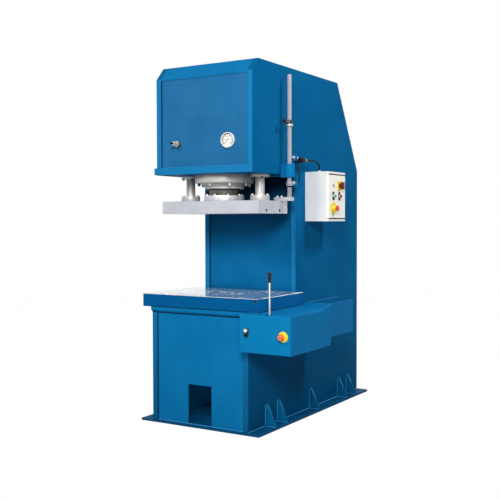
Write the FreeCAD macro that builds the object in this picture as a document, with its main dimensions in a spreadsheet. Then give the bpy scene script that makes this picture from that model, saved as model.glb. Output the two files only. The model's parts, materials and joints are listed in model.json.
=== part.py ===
import FreeCAD, Part
import math
import os
import re
import Sketcher

# Floor-standing C-frame hydraulic press. Millimetres; X to the right, Y to the back, Z up.
# The origin is at floor level on the centre plane, at the front edge of the frame's side plates.

doc = FreeCAD.newDocument("hydraulic_press")
sheet = doc.addObject("Spreadsheet::Sheet", "sizes")

SIZES = {
    # welded C-frame
    "half_width": 380,
    "side_plate": 38,
    "frame_depth": 1660,
    "frame_height": 2400,
    "head_front": 58,
    "nose_run": 78,
    "nose_drop": 87,
    "roof_end": 1296,
    "slope_foot": 1752,
    "head_underside": 1672,
    "mount_plate": 46,
    "mount_overhang": 22,
    "column_front": 630,
    "throat_recess": 10,
    "throat_plate": 25,
    "arm_top": 750,
    "cover_sheet": 8,
    "panel_recess": 10,
    "roof_sheet": 10,
    # base plate, its ribs and anchor holes
    "base_plate": 15,
    "base_overhang": 88,
    "base_front_lip": 15,
    "base_back_lip": 5,
    "opening_width": 186,
    "opening_top": 280,
    "gusset_height": 147,
    "gusset_reach": 80,
    "gusset_plate": 14,
    "gusset_nose": 12,
    "gusset_middle": 842,
    "gusset_inner": 463,
    "gusset_outer": 621,
    "anchor_r": 14,
    "anchor_offset": 50,
    # table and the plate it rests on
    "rest_plate": 32,
    "rest_overhang": 6,
    "rest_lip": 10,
    "rest_chamfer": 12,
    "table_overhang": 75,
    "table_lip": 5,
    "table_back_gap": 30,
    "table_plate": 88,
    "table_chamfer": 3,
    "table_bore_r": 40,
    "tap_r": 8.75,
    "tap_depth": 40,
    "tap_first_x": 140,
    "tap_first_y": 108,
    "tap_pitch_x": 100,
    "tap_pitch_y": 78,
    "eye_hole_r": 7,
    "eye_hole_inset": 16,
    "eye_hole_depth": 25,
    # ram, cylinder and guides
    "stroke": 250,
    "running_gap": 0.3,
    "ram_axis": 315,
    "ram_overhang": 3,
    "ram_depth": 390,
    "ram_plate": 85,
    "ram_underside": 1408,
    "ram_chamfer": 2,
    "ram_tap_x": 240,
    "ram_tap_y": 140,
    "side_tap_r": 7.75,
    "side_tap_half": 87,
    "side_tap_rise": 20,
    "guide_inset": 98,
    "flange_gap": 17,
    "flange_lip": 20,
    "barrel_wall": 40,
    "rod_step": 40,
    "flange_plate": 60,
    "flange_chamfer": 6,
    "gland_neck_step": 5,
    "gland_lip": 15,
    "gland_taper": 22,
    "gland_seat": 12,
    "gland_spigot": 78,
    "wiper": 6,
    "wiper_wall": 9,
    "piston": 70,
    "piston_gap": 20,
    "barrel_cap": 60,
    "cap_port_r": 12,
    "collar_plate": 38,
    "ram_flange_lip": 38,
    "column_r": 32,
    "guide_flange_r": 65,
    "bush_r": 45,
    "bush_flange": 20,
    "bush_height": 128,
    "column_spare": 10,
    "large_screw_r": 10,
    "large_screw_inset": 25,
    "ram_screw_inset": 18,
    "guide_screw_circle": 102,
    "large_screw_head": 18,
    "screw_r": 8,
    "screw_head": 10,
    # stroke rod, its arm, guide and collars
    "rod_reach": 57,
    "rod_y": 441,
    "stroke_rod_r": 15,
    "stroke_rod_top": 2332,
    "arm_plate": 25,
    "arm_half": 26,
    "arm_overlap": 51,
    "arm_screw_pitch": 33,
    "arm_screw_inset": 22.5,
    "arm_end": 20,
    "rod_guide_low": 1650,
    "rod_guide_high": 1740,
    "rod_guide_r": 36,
    "rod_guide_web": 16,
    "clamp_collar_r": 22,
    "clamp_collar": 27,
    "stop_ring_r": 24,
    "stop_ring": 13,
    "stop_rest": 0.5,
    "lower_collar_low": 1592,
    "clamp_stem_r": 5,
    "clamp_stem": 30,
    "clamp_knob_r": 14,
    "clamp_knob": 25,
    # proximity sensors, cables and conduit
    "sensor_r": 9,
    "sensor_lower_length": 77,
    "sensor_upper_length": 92,
    "sensor_gap": 6,
    "sensor_nut_r": 13,
    "sensor_nut": 5,
    "sensor_upper_z": 1785,
    "sensor_lower_z": 1613,
    "bracket_y": 503,
    "bracket_sheet": 4,
    "bracket_foot": 38,
    "bracket_rise": 20,
    "bracket_side": 23,
    "cable_r": 3,
    "conduit_r": 6,
    "junction_r": 15,
    "junction_front": 592,
    "junction_length": 72,
    "junction_z": 1776,
    "junction_nut_r": 12,
    "junction_nut": 18,
    "clip_width": 20,
    "clip_wall": 4,
    "box_gland_y": 884,
    "box_gland_r": 10,
    "box_gland": 13,
    # pressure gauge and relief valve on the head panel
    "gauge_x": 196,
    "gauge_z": 1881,
    "gauge_r": 50,
    "gauge_body_r": 42,
    "gauge_depth": 40,
    "gauge_proud": 22,
    "gauge_rim": 5,
    "gauge_glass": 3,
    "dial_sheet": 1.5,
    "needle_length": 31,
    "needle_tail": 12,
    "relief_x": -198,
    "relief_z": 1873,
    "relief_r": 13,
    "relief_foot_r": 17,
    "relief_foot": 5,
    "relief_length": 38,
    "relief_nut_r": 22,
    "relief_nut": 10,
    "relief_neck_r": 8,
    "relief_neck": 20,
    "relief_stem_r": 4,
    "relief_stem": 14,
    "relief_collar_r": 13.5,
    "relief_collar": 12,
    "relief_knob_r": 7,
    "relief_knob": 27,
    # side console with the hand lever
    "console_width": 361,
    "console_reach": 98,
    "console_back": 793,
    "console_step": 448,
    "console_low": 544,
    "console_rear_low": 600,
    "console_sheet": 4,
    "console_edge": 5,
    "hood_wall": 12,
    "hood_rise": 35,
    "hood_start": 330,
    "hood_ramp": 150,
    "lever_reach": 182,
    "lever_y": -40,
    "lever_pivot": 720,
    "lever_r": 6,
    "lever_top": 1043,
    "grip_r": 13,
    "grip_length": 63,
    "slot_width": 30,
    "slot_length": 100,
    "lever_hub_r": 14,
    "lever_hub": 18,
    "lever_ear": 9,
    "lever_pin_r": 6,
    "pin_gap": 0.06,
    "valve_width": 80,
    "valve_length": 200,
    "valve_top": 698,
    "valve_front": 45,
    "stop_inset": 51,
    "stop_z": 660,
    "stop_ring_disc_r": 33,
    "twin_reach": 48,
    "twin_z": 670,
    "twin_width": 34,
    "twin_height": 58,
    "twin_plate": 6,
    "twin_pitch": 26,
    "selector_bar": 6,
    "selector_proud": 13,
    "selector_sink": 2,
    # push buttons and mushroom buttons
    "disc_sheet": 2.5,
    "mushroom_r": 20,
    "mushroom": 16,
    "mushroom_stem_r": 8,
    "mushroom_travel": 6,
    "neck_r": 15,
    "neck": 18,
    "button_r": 11,
    "button_proud": 8,
    "button_travel": 4,
    "bezel_r": 14.5,
    "bezel": 9,
    # control box on the side of the frame
    "box_depth": 181,
    "box_front": 774,
    "box_width": 280,
    "box_low": 1356,
    "box_high": 1703,
    "box_sheet": 3,
    "box_edge": 10,
    "box_lip": 20,
    "door_depth": 20,
    "door_gap": 5,
    "door_seat": 0.5,
    "hinge_r": 5,
    "hinge_half": 22,
    "hinge_inset": 40,
    "hinge_pin_r": 2.5,
    "left_row_y": 855,
    "right_row_y": 950,
    "switch_z": 1608,
    "switch_plate": 65,
    "switch_sheet": 6,
    "switch_hub_r": 19,
    "switch_hub": 12,
    "switch_grip": 52,
    "switch_grip_width": 13,
    "switch_grip_depth": 22,
    "lock_r": 9,
    "lock_proud": 4,
    "legend_width": 30,
    "legend_height": 58,
    "legend_sheet": 3,
    "buttons_z": 1534,
    "box_stop_z": 1447,
    "box_stop_disc_r": 45,
    # rear covers and the power pack inside the column
    "rear_split": 900,
    "rear_recess": 8,
    "vent_width": 240,
    "vent_height": 10,
    "vent_pitch": 26,
    "vent_count": 8,
    "vent_low": 1420,
    "cover_screw_r": 9,
    "cover_screw": 5,
    "tank_side_gap": 42,
    "tank_throat_gap": 65,
    "tank_cover_gap": 84,
    "tank_rise": 250,
    "tank_height": 440,
    "tank_wall": 6,
    "bearer": 40,
    "motor_r": 120,
    "motor_height": 280,
    "motor_inset": 320,
    "motor_flange_r": 140,
    "motor_flange": 16,
    "pump_r": 60,
    "pump_height": 150,
    "manifold": 90,
    "manifold_inset": 150,
    "pipe_r": 12,
    "pipe_bend": 70,
    "pipe_rise": 120,
}


def fill_sheet():
    for row, (name, size) in enumerate(SIZES.items(), 1):
        sheet.set(f"A{row}", name)
        sheet.set(f"B{row}", str(size))
        sheet.setAlias(f"B{row}", name)
    doc.recompute()


fill_sheet()
nodes = []


# ---- how sizes reach the objects -------------------------------------------------------------

def tied(text):
    """The expression with each size's name pointing at its cell."""
    return re.sub(r"\b([a-z][a-z_0-9]*)\b", r"sizes.\1", str(text))


def value(text):
    return float(sheet.evalExpression(tied(text)))


def bind(thing, prop, text):
    thing.setExpression(prop, tied(text))


def node(thing, name):
    """Marks an object as a sub-part: its label names the file."""
    thing.Label = name
    nodes.append(thing)
    return thing


def placed(thing, at, turn=None):
    """Puts an object at a point given by expressions, turned by (axis, degrees) if asked."""
    rotation = FreeCAD.Rotation(FreeCAD.Vector(*turn[0]), turn[1]) if turn else FreeCAD.Rotation()
    thing.Placement = FreeCAD.Placement(FreeCAD.Vector(), rotation)
    for letter, text in zip("xyz", at):
        bind(thing, f"Placement.Base.{letter}", text)
    return thing


FACING_FRONT = ((1, 0, 0), 90)
FACING_BACK = ((1, 0, 0), -90)
FACING_RIGHT = ((0, 1, 0), 90)
UPSIDE_DOWN = ((1, 0, 0), 180)


# ---- bodies, sketches and features -----------------------------------------------------------

def new_body(name):
    body = doc.addObject("PartDesign::Body", name)
    body.AllowCompound = True
    return body


def new_sketch(body, plane):
    sketch = body.newObject("Sketcher::SketchObject", f"{body.Name}_sketch")
    origin_plane = next(f for f in body.Origin.OriginFeatures if f.Role == f"{plane}_Plane")
    sketch.AttachmentSupport = [(origin_plane, "")]
    sketch.MapMode = "FlatFace"
    return sketch


def pin_point(sketch, geometry, point, at):
    """Holds a point of the sketch at a place given by two expressions."""
    for kind, text in zip(("DistanceX", "DistanceY"), at):
        held = sketch.addConstraint(Sketcher.Constraint(kind, -1, 1, geometry, point, value(text)))
        bind(sketch, f"Constraints[{held}]", text)


def add_polygon(sketch, points):
    """A closed outline; each corner is pinned by its two expressions."""
    corners = [FreeCAD.Vector(value(x), value(y), 0) for x, y in points]
    first = sketch.GeometryCount
    for i, start in enumerate(corners):
        sketch.addGeometry(Part.LineSegment(start, corners[(i + 1) % len(corners)]), False)
    for i, at in enumerate(points):
        line = first + i
        after = first + (i + 1) % len(points)
        sketch.addConstraint(Sketcher.Constraint("Coincident", line, 2, after, 1))
        pin_point(sketch, line, 1, at)


def add_circle(sketch, at, radius):
    centre = FreeCAD.Vector(value(at[0]), value(at[1]), 0)
    circle = sketch.addGeometry(Part.Circle(centre, FreeCAD.Vector(0, 0, 1), value(radius)), False)
    held = sketch.addConstraint(Sketcher.Constraint("Radius", circle, value(radius)))
    bind(sketch, f"Constraints[{held}]", radius)
    pin_point(sketch, circle, 3, at)


def rectangle(low, high):
    return [(low[0], low[1]), (high[0], low[1]), (high[0], high[1]), (low[0], high[1])]


def pad(body, sketch, length, backwards=False):
    feature = body.newObject("PartDesign::Pad", f"{body.Name}_pad")
    feature.Profile = sketch
    feature.Reversed = backwards
    bind(feature, "Length", length)
    doc.recompute()
    return feature


def pocket(body, sketch, depth, backwards=False):
    """A cut that has to take material away, so its volume is compared."""
    before = body.Shape.Volume
    feature = body.newObject("PartDesign::Pocket", f"{body.Name}_pocket")
    feature.Profile = sketch
    feature.Reversed = backwards
    bind(feature, "Length", depth)
    doc.recompute()
    if not body.Shape.Volume < before - 1e-6:
        raise ValueError(f"{body.Name}: the pocket cut nothing")
    return feature


def ring_pattern(body, sketch, features, count):
    """Repeats features about the sketch's own normal axis."""
    pattern = body.newObject("PartDesign::PolarPattern", f"{body.Name}_ring")
    pattern.Originals = features
    pattern.Axis = (sketch, ["N_Axis"])
    pattern.Angle = 360
    pattern.Occurrences = count
    body.Tip = pattern
    doc.recompute()
    return pattern


def plate(name, plane, points, thickness, at, turn=None, backwards=False):
    """A flat plate: an outline in the given plane, padded to its thickness."""
    body = new_body(name)
    sketch = new_sketch(body, plane)
    add_polygon(sketch, points)
    pad(body, sketch, thickness, backwards)
    return placed(body, at, turn)


def turned(name, profile, at, turn=None):
    """A lathe-turned piece: its half outline (radius, height) swept about its own axis."""
    body = new_body(name)
    sketch = new_sketch(body, "XZ")
    add_polygon(sketch, profile)
    feature = body.newObject("PartDesign::Revolution", f"{name}_turn")
    feature.Profile = sketch
    feature.ReferenceAxis = (sketch, ["V_Axis"])
    feature.Angle = 360
    doc.recompute()
    return placed(body, at, turn)


def drill(body, plane, places, radius, depth, backwards=False):
    """Round holes of one radius, at the given places of the body's own plane."""
    sketch = new_sketch(body, plane)
    for at in places:
        add_circle(sketch, at, radius)
    return pocket(body, sketch, depth, backwards)


def edges_where(shape, test):
    return [f"Edge{i}" for i, edge in enumerate(shape.Edges, 1) if test(edge)]


def soften(body, kind, size, test):
    """Rounds or bevels the edges of the body's last feature that pass the test."""
    base = body.Tip
    feature = body.newObject(f"PartDesign::{kind}", f"{body.Name}_{kind.lower()}")
    feature.Base = (base, edges_where(base.Shape, test))
    bind(feature, "Radius" if kind == "Fillet" else "Size", size)
    doc.recompute()
    return feature


def box(name, low, high):
    """A rectangular block between two corners given by expressions."""
    block = doc.addObject("Part::Box", name)
    for prop, a, b in zip(("Length", "Width", "Height"), low, high):
        bind(block, prop, f"({b}) - ({a})")
    return placed(block, low)


def cylinder(name, at, radius, length, turn=None):
    round_bar = doc.addObject("Part::Cylinder", name)
    bind(round_bar, "Radius", radius)
    bind(round_bar, "Height", length)
    return placed(round_bar, at, turn)


def fused(name, pieces):
    whole = doc.addObject("Part::MultiFuse", name)
    whole.Shapes = pieces
    doc.recompute()
    return whole


def cut(name, base, tool):
    rest = doc.addObject("Part::Cut", name)
    rest.Base = base
    rest.Tool = tool
    doc.recompute()
    return rest


def group(name, pieces):
    """Separate like pieces in one sub-part."""
    whole = doc.addObject("Part::Compound", name)
    whole.Links = pieces
    doc.recompute()
    return whole


def screw_ring(name, circle, count, radius, head, at, turn=None, first=0):
    """Heads of the screws on a circle, rising from their seat; radius is to the hexagon's corners."""
    body = new_body(name)
    across = f"{circle} / 2"
    sketch = new_sketch(body, "XY")
    corners = []
    for i in range(6):
        angle = math.radians(60 * i)
        corners.append((f"{across} + {radius} * {math.cos(angle):.6f}", f"{radius} * {math.sin(angle):.6f}"))
    add_polygon(sketch, corners)
    heads = pad(body, sketch, head)
    ring_pattern(body, sketch, [heads], count)
    placed(body, at, turn)
    spin = FreeCAD.Rotation(FreeCAD.Vector(0, 0, 1), first)
    body.Placement.Rotation = body.Placement.Rotation * spin
    return body


# ---- welded frame ----------------------------------------------------------------------------

RAM_TOP = "(ram_underside + ram_plate)"
TABLE_UNDERSIDE = "(arm_top + rest_plate)"
TABLE_BACK = "(column_front - table_back_gap)"
TABLE_MIDDLE = f"(({TABLE_BACK} - table_lip) / 2)"
MOUNT_TOP = "(head_underside + mount_plate)"
INNER_HALF = "(half_width - side_plate)"
PANEL_FACE = "(head_front + panel_recess)"
TABLE_HALF = "(half_width + table_overhang)"
RAM_HALF = "(half_width + ram_overhang)"
GUIDE_X = "(half_width - guide_inset)"


def make_base_plate():
    low = ("-half_width - base_overhang", "-base_front_lip")
    high = ("half_width + base_overhang", "frame_depth + base_back_lip")
    base = plate("base_floor_plate", "XY", rectangle(low, high), "base_plate", ("0", "0", "0"))
    anchor_x = "half_width + anchor_offset"
    reach = "(gusset_inner + gusset_outer) / 2"
    places = []
    for x in (f"-({anchor_x})", anchor_x):
        places.append((x, f"gusset_middle - {reach}"))
        places.append((x, f"gusset_middle + {reach}"))
    drill(base, "XY", places, "anchor_r", "base_plate", backwards=True)
    ribs = [base]
    outline = [("0", "0"), ("gusset_reach", "0"), ("gusset_reach", "gusset_nose"),
               ("gusset_nose", "gusset_height"), ("0", "gusset_height")]
    offsets = ["-gusset_outer", "-gusset_inner", "0", "gusset_inner", "gusset_outer"]
    for side, sign in (("left", "-"), ("right", "")):
        points = [(f"{sign}({x})", z) for x, z in outline]
        for i, offset in enumerate(offsets):
            at = (f"{sign}half_width", f"gusset_middle + ({offset}) - gusset_plate / 2", "base_plate")
            ribs.append(plate(f"gusset_{side}_{i}", "XZ", points, "gusset_plate", at, backwards=True))
    return node(fused("base_welded", ribs), "base_plate")


def make_side_plate(side):
    """One flame-cut C-shaped plate, with the throat between its arms."""
    outline = [("0", "base_plate"), ("0", "arm_top"), ("column_front", "arm_top"),
               ("column_front", MOUNT_TOP), ("head_front", MOUNT_TOP),
               ("head_front", "frame_height - nose_drop"), ("head_front + nose_run", "frame_height"),
               ("roof_end", "frame_height"), ("frame_depth", "slope_foot"), ("frame_depth", "base_plate")]
    x = INNER_HALF if side == "right" else "-half_width"
    name = f"side_plate_{side}"
    return node(plate(f"{name}_body", "YZ", outline, "side_plate", (x, "0", "0")), name)


def make_base_front_panel():
    """Front wall of the base, with the opening that reaches down to the base plate."""
    notch = "opening_width / 2"
    outline = [(f"-{INNER_HALF}", "base_plate"), (f"-{notch}", "base_plate"), (f"-{notch}", "opening_top"),
               (notch, "opening_top"), (notch, "base_plate"), (INNER_HALF, "base_plate"),
               (INNER_HALF, "arm_top"), (f"-{INNER_HALF}", "arm_top")]
    panel = plate("base_front", "XZ", outline, "cover_sheet", ("0", "panel_recess", "0"), backwards=True)
    return node(panel, "base_front_panel")


def make_rest_plate():
    """The plate that the table rests on, bevelled along its lower front edge."""
    outline = [("-rest_lip", "arm_top + rest_chamfer"), ("-rest_lip", TABLE_UNDERSIDE),
               ("column_front", TABLE_UNDERSIDE), ("column_front", "arm_top"),
               ("rest_chamfer - rest_lip", "arm_top")]
    half = "(half_width + rest_overhang)"
    rest = plate("rest", "YZ", outline, f"2 * {half}", (f"-{half}", "0", "0"))
    return node(rest, "table_rest_plate")


def tap_places(middle):
    """Tapped holes in rows along both diagonals, outwards from the middle."""
    places = []
    for step in range(3):
        x = f"(tap_first_x + {step} * tap_pitch_x)"
        y = f"(tap_first_y + {step} * tap_pitch_y)"
        for sx in ("-", ""):
            for sy in ("-", "+"):
                places.append((f"{sx}{x}", f"{middle} {sy} {y}"))
    return places


def make_table():
    low = (f"-{TABLE_HALF}", "-table_lip")
    high = (TABLE_HALF, TABLE_BACK)
    at = ("0", "0", TABLE_UNDERSIDE)
    table = plate("table_slab", "XY", rectangle(low, high), "table_plate", at)
    top = value("table_plate")
    soften(table, "Chamfer", "table_chamfer", lambda e: e.BoundBox.ZMin > top - 1)
    drill(table, "XY", [("0", TABLE_MIDDLE)], "table_bore_r", "table_plate", backwards=True)
    holes = new_sketch(table, "XY")
    bind(holes, "AttachmentOffset.Base.z", "table_plate")
    for at in tap_places(TABLE_MIDDLE):
        add_circle(holes, at, "tap_r")
    pocket(table, holes, "tap_depth")
    eye = new_sketch(table, "XZ")
    bind(eye, "AttachmentOffset.Base.z", "table_lip")
    add_circle(eye, (f"{TABLE_HALF} - eye_hole_inset", "table_plate - eye_hole_inset"), "eye_hole_r")
    pocket(table, eye, "eye_hole_depth")
    return node(table, "table")


def make_throat_plate():
    low = (f"-{INNER_HALF}", "arm_top")
    high = (INNER_HALF, MOUNT_TOP)
    at = ("0", "column_front + throat_recess", "0")
    wall = plate("throat_wall", "XZ", rectangle(low, high), "throat_plate", at, backwards=True)
    return node(wall, "throat_plate")


def make_head_front_panel():
    """Recessed front wall of the head, drilled for the gauge and the relief valve."""
    top = "frame_height - nose_drop - roof_sheet + panel_recess * nose_drop / nose_run"
    low = (f"-{INNER_HALF}", MOUNT_TOP)
    high = (INNER_HALF, top)
    panel = plate("head_front_wall", "XZ", rectangle(low, high), "cover_sheet", ("0", PANEL_FACE, "0"),
                  backwards=True)
    drill(panel, "XZ", [("gauge_x", "gauge_z")], "gauge_body_r + running_gap", "cover_sheet")
    return node(panel, "head_front_panel")


def make_roof_plate():
    """One bent sheet over the nose, the top and the rear slope, between the side plates."""
    outer = [("head_front", "frame_height - nose_drop"), ("head_front + nose_run", "frame_height"),
             ("roof_end", "frame_height"), ("frame_depth", "slope_foot")]
    inner = [(y, f"{z} - roof_sheet") for y, z in reversed(outer)]
    roof = plate("roof_sheet_metal", "YZ", outer + inner, f"2 * {INNER_HALF}", (f"-{INNER_HALF}", "0", "0"))
    return node(roof, "roof_plate")


REAR_FACE = "(frame_depth - rear_recess - cover_sheet)"


def make_rear_panels():
    """The lower back wall, and the screwed cover above it with its vent slots."""
    lower = plate("rear_wall", "XZ", rectangle((f"-{INNER_HALF}", "base_plate"), (INNER_HALF, "rear_split")),
                  "cover_sheet", ("0", REAR_FACE, "0"), backwards=True)
    node(lower, "rear_panel")
    drop = "(rear_recess + cover_sheet) * (frame_height - slope_foot) / (frame_depth - roof_end)"
    high = (INNER_HALF, f"slope_foot - roof_sheet + rear_recess * {drop} / (rear_recess + cover_sheet)")
    cover = plate("rear_lid", "XZ", rectangle((f"-{INNER_HALF}", "rear_split"), high), "cover_sheet",
                  ("0", REAR_FACE, "0"), backwards=True)
    vents = new_sketch(cover, "XZ")
    bind(vents, "AttachmentOffset.Base.z", "-cover_sheet")
    low = "vent_low"
    add_polygon(vents, rectangle(("-vent_width / 2", low), ("vent_width / 2", f"{low} + vent_height")))
    slot = pocket(cover, vents, "cover_sheet", backwards=True)
    rows = cover.newObject("PartDesign::LinearPattern", "vent_rows")
    rows.Originals = [slot]
    rows.Direction = (vents, ["V_Axis"])
    rows.Occurrences = int(value("vent_count"))
    rows.Length = value("vent_pitch") * (rows.Occurrences - 1)
    bind(rows, "Length", "vent_pitch * (vent_count - 1)")
    cover.Tip = rows
    doc.recompute()
    screws = [cover]
    for x in (f"-{INNER_HALF} + 25", f"{INNER_HALF} - 25"):
        for z in ("rear_split + 25", "(rear_split + slope_foot) / 2", "slope_foot - 40"):
            at = (x, f"{REAR_FACE} + cover_sheet", z)
            screws.append(cylinder("cover_screw_head", at, "cover_screw_r", "cover_screw", FACING_BACK))
    return node(fused("rear_cover_screwed", screws), "rear_cover")


def make_mount_plate():
    """The thick plate under the head that carries the cylinder and both guide bushes."""
    low = ("-half_width - mount_overhang", "head_front")
    high = ("half_width", "column_front")
    slab = plate("mount_slab", "XY", rectangle(low, high), "mount_plate", ("0", "0", "head_underside"))
    drill(slab, "XY", [("0", "ram_axis")], f"{BARREL_R} + running_gap", "mount_plate", backwards=True)
    places = [(f"-{GUIDE_X}", "ram_axis"), (GUIDE_X, "ram_axis")]
    drill(slab, "XY", places, "bush_r + running_gap", "mount_plate", backwards=True)
    return node(slab, "cylinder_mount_plate")


# ---- cylinder and guides ---------------------------------------------------------------------

FLANGE_R = f"({GUIDE_X} - guide_flange_r - flange_gap)"
BARREL_R = f"({FLANGE_R} - flange_lip)"
BORE_R = f"({BARREL_R} - barrel_wall)"
PLUNGER_R = f"({BORE_R} - rod_step)"
GLAND_R = f"({BORE_R} - gland_neck_step)"
GLAND_SHOULDER_R = f"({BORE_R} + gland_seat)"
WIPER_R = f"({PLUNGER_R} + wiper_wall)"
RAM_FLANGE_R = f"({PLUNGER_R} + ram_flange_lip)"
FLANGE_SCREW_CIRCLE = f"(2 * ({FLANGE_R} - large_screw_inset))"
RAM_SCREW_CIRCLE = f"(2 * ({RAM_FLANGE_R} - ram_screw_inset))"
FLANGE_FACE = "(head_underside - flange_plate)"
GLAND_TOP = "(head_underside - flange_plate + gland_spigot)"
PISTON_LOW = "(head_underside - flange_plate + gland_spigot + stroke + piston_gap)"
BARREL_INSIDE = f"({PISTON_LOW} + piston + piston_gap)"


def make_cylinder():
    """Barrel, mounting flange and closed end in one turned piece, open at the bottom for the gland."""
    profile = [(BORE_R, FLANGE_FACE), (f"{FLANGE_R} - flange_chamfer", FLANGE_FACE),
               (FLANGE_R, f"{FLANGE_FACE} + flange_chamfer"), (FLANGE_R, "head_underside"),
               (BARREL_R, "head_underside"), (BARREL_R, f"{BARREL_INSIDE} + barrel_cap"),
               ("cap_port_r", f"{BARREL_INSIDE} + barrel_cap"), ("cap_port_r", BARREL_INSIDE),
               (BORE_R, BARREL_INSIDE)]
    barrel = turned("barrel", profile, ("0", "ram_axis", "0"))
    return node(barrel, "cylinder_barrel")


def make_gland():
    inner = f"{PLUNGER_R} + running_gap"
    profile = [(inner, f"{FLANGE_FACE} - gland_taper - gland_lip"),
               (GLAND_R, f"{FLANGE_FACE} - gland_taper - gland_lip"),
               (GLAND_R, f"{FLANGE_FACE} - gland_taper"), (GLAND_SHOULDER_R, FLANGE_FACE),
               (f"{BORE_R} - running_gap", FLANGE_FACE), (f"{BORE_R} - running_gap", GLAND_TOP),
               (inner, GLAND_TOP)]
    ring = turned("gland_ring", profile, ("0", "ram_axis", "0"))
    return node(ring, "cylinder_gland")


def make_wiper():
    top = f"{FLANGE_FACE} - gland_taper - gland_lip"
    profile = [(f"{PLUNGER_R} + running_gap", f"{top} - wiper"), (WIPER_R, f"{top} - wiper"),
               (WIPER_R, top), (f"{PLUNGER_R} + running_gap", top)]
    return node(turned("wiper_ring", profile, ("0", "ram_axis", "0")), "rod_wiper")


def make_head_screws():
    """Screws that hold the cylinder flange and both bush flanges up against the mounting plate."""
    rings = [screw_ring("flange_screws", FLANGE_SCREW_CIRCLE, 8, "large_screw_r", "large_screw_head",
                        ("0", "ram_axis", FLANGE_FACE), UPSIDE_DOWN)]
    for side, sign in (("left", "-"), ("right", "")):
        at = (f"{sign}{GUIDE_X}", "ram_axis", "head_underside - bush_flange")
        rings.append(screw_ring(f"bush_screws_{side}", "guide_screw_circle", 4, "screw_r", "screw_head",
                                at, UPSIDE_DOWN, first=45))
    return node(group("screws_under_head", rings), "head_screws")


def make_guide_bushes():
    inner = "column_r + running_gap"
    low = "head_underside - bush_flange"
    profile = [(inner, low), ("guide_flange_r", low), ("guide_flange_r", "head_underside"),
               ("bush_r", "head_underside"), ("bush_r", "head_underside + bush_height"),
               (inner, "head_underside + bush_height")]
    pair = []
    for side, sign in (("left", "-"), ("right", "")):
        bush = turned(f"bush_{side}", profile, (f"{sign}{GUIDE_X}", "ram_axis", "0"))
        pair.append(bush)
    return node(group("bush_pair", pair), "guide_bushes")


def make_ram_plate():
    low = (f"-{RAM_HALF}", "ram_axis - ram_depth / 2")
    high = (RAM_HALF, "ram_axis + ram_depth / 2")
    slab = plate("ram_slab", "XY", rectangle(low, high), "ram_plate", ("0", "0", "ram_underside"))
    soften(slab, "Chamfer", "ram_chamfer", lambda e: True)
    places = []
    for x in ("-ram_tap_x", "ram_tap_x"):
        places.append((x, "ram_axis - ram_tap_y"))
        places.append((x, "ram_axis + ram_tap_y"))
    drill(slab, "XY", places, "tap_r", "tap_depth", backwards=True)
    side_holes = new_sketch(slab, "YZ")
    bind(side_holes, "AttachmentOffset.Base.z", RAM_HALF)
    for sign in ("-", "+"):
        add_circle(side_holes, (f"ram_axis {sign} side_tap_half", "side_tap_rise"), "side_tap_r")
    pocket(slab, side_holes, "tap_depth / 2")
    return node(slab, "ram_plate")


def make_plunger():
    """Piston rod with the piston turned on its upper end."""
    piston_r = f"{BORE_R} - running_gap"
    profile = [("0", RAM_TOP), (PLUNGER_R, RAM_TOP), (PLUNGER_R, PISTON_LOW),
               (piston_r, PISTON_LOW), (piston_r, f"{PISTON_LOW} + piston"),
               ("0", f"{PISTON_LOW} + piston")]
    return node(turned("plunger", profile, ("0", "ram_axis", "0")), "piston_rod")


def make_ram_flange():
    """Split-free ring that clamps the piston rod to the ram plate."""
    inner = PLUNGER_R
    top = f"{RAM_TOP} + collar_plate"
    profile = [(inner, RAM_TOP), (RAM_FLANGE_R, RAM_TOP), (RAM_FLANGE_R, top), (inner, top)]
    ring = turned("ram_ring", profile, ("0", "ram_axis", "0"))
    return node(ring, "ram_flange")


def make_guide_columns():
    """Ground columns, each with the flange that bolts it to the ram plate."""
    flange_top = f"{RAM_TOP} + collar_plate"
    top = "head_underside + bush_height + stroke + column_spare"
    profile = [("0", RAM_TOP), ("guide_flange_r", RAM_TOP), ("guide_flange_r", flange_top),
               ("column_r", flange_top), ("column_r", top), ("0", top)]
    pair = []
    for side, sign in (("left", "-"), ("right", "")):
        column = turned(f"column_{side}", profile, (f"{sign}{GUIDE_X}", "ram_axis", "0"))
        pair.append(column)
    return node(group("column_pair", pair), "guide_columns")


ARM_TOP = f"({RAM_TOP} + arm_plate)"
ARM_INNER = f"({RAM_HALF} - arm_overlap)"
ARM_SEAT = f"({RAM_HALF} - arm_screw_inset)"


def make_ram_screws():
    """Screws of the ram flange, of both column flanges and of the stroke rod's arm."""
    top = f"{RAM_TOP} + collar_plate"
    rings = [screw_ring("ram_ring_screws", RAM_SCREW_CIRCLE, 8, "screw_r", "screw_head",
                        ("0", "ram_axis", top))]
    for side, sign in (("left", "-"), ("right", "")):
        at = (f"{sign}{GUIDE_X}", "ram_axis", top)
        rings.append(screw_ring(f"column_screws_{side}", "guide_screw_circle", 4, "screw_r", "screw_head",
                                at, first=45))
    rings.append(screw_ring("arm_screws", "arm_screw_pitch", 2, "screw_r", "screw_head",
                            (ARM_SEAT, "rod_y", ARM_TOP)))
    return node(group("screws_on_ram", rings), "ram_screws")


# ---- stroke rod, collars and sensors ---------------------------------------------------------

ROD_X = "(half_width + rod_reach)"
ROD_HOLE = "stroke_rod_r + running_gap"


def make_stroke_arm():
    low = (ARM_INNER, "rod_y - arm_half")
    high = (f"{ROD_X} + arm_end", "rod_y + arm_half")
    arm = plate("arm", "XY", rectangle(low, high), "arm_plate", ("0", "0", RAM_TOP))
    return node(arm, "stroke_arm")


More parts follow.
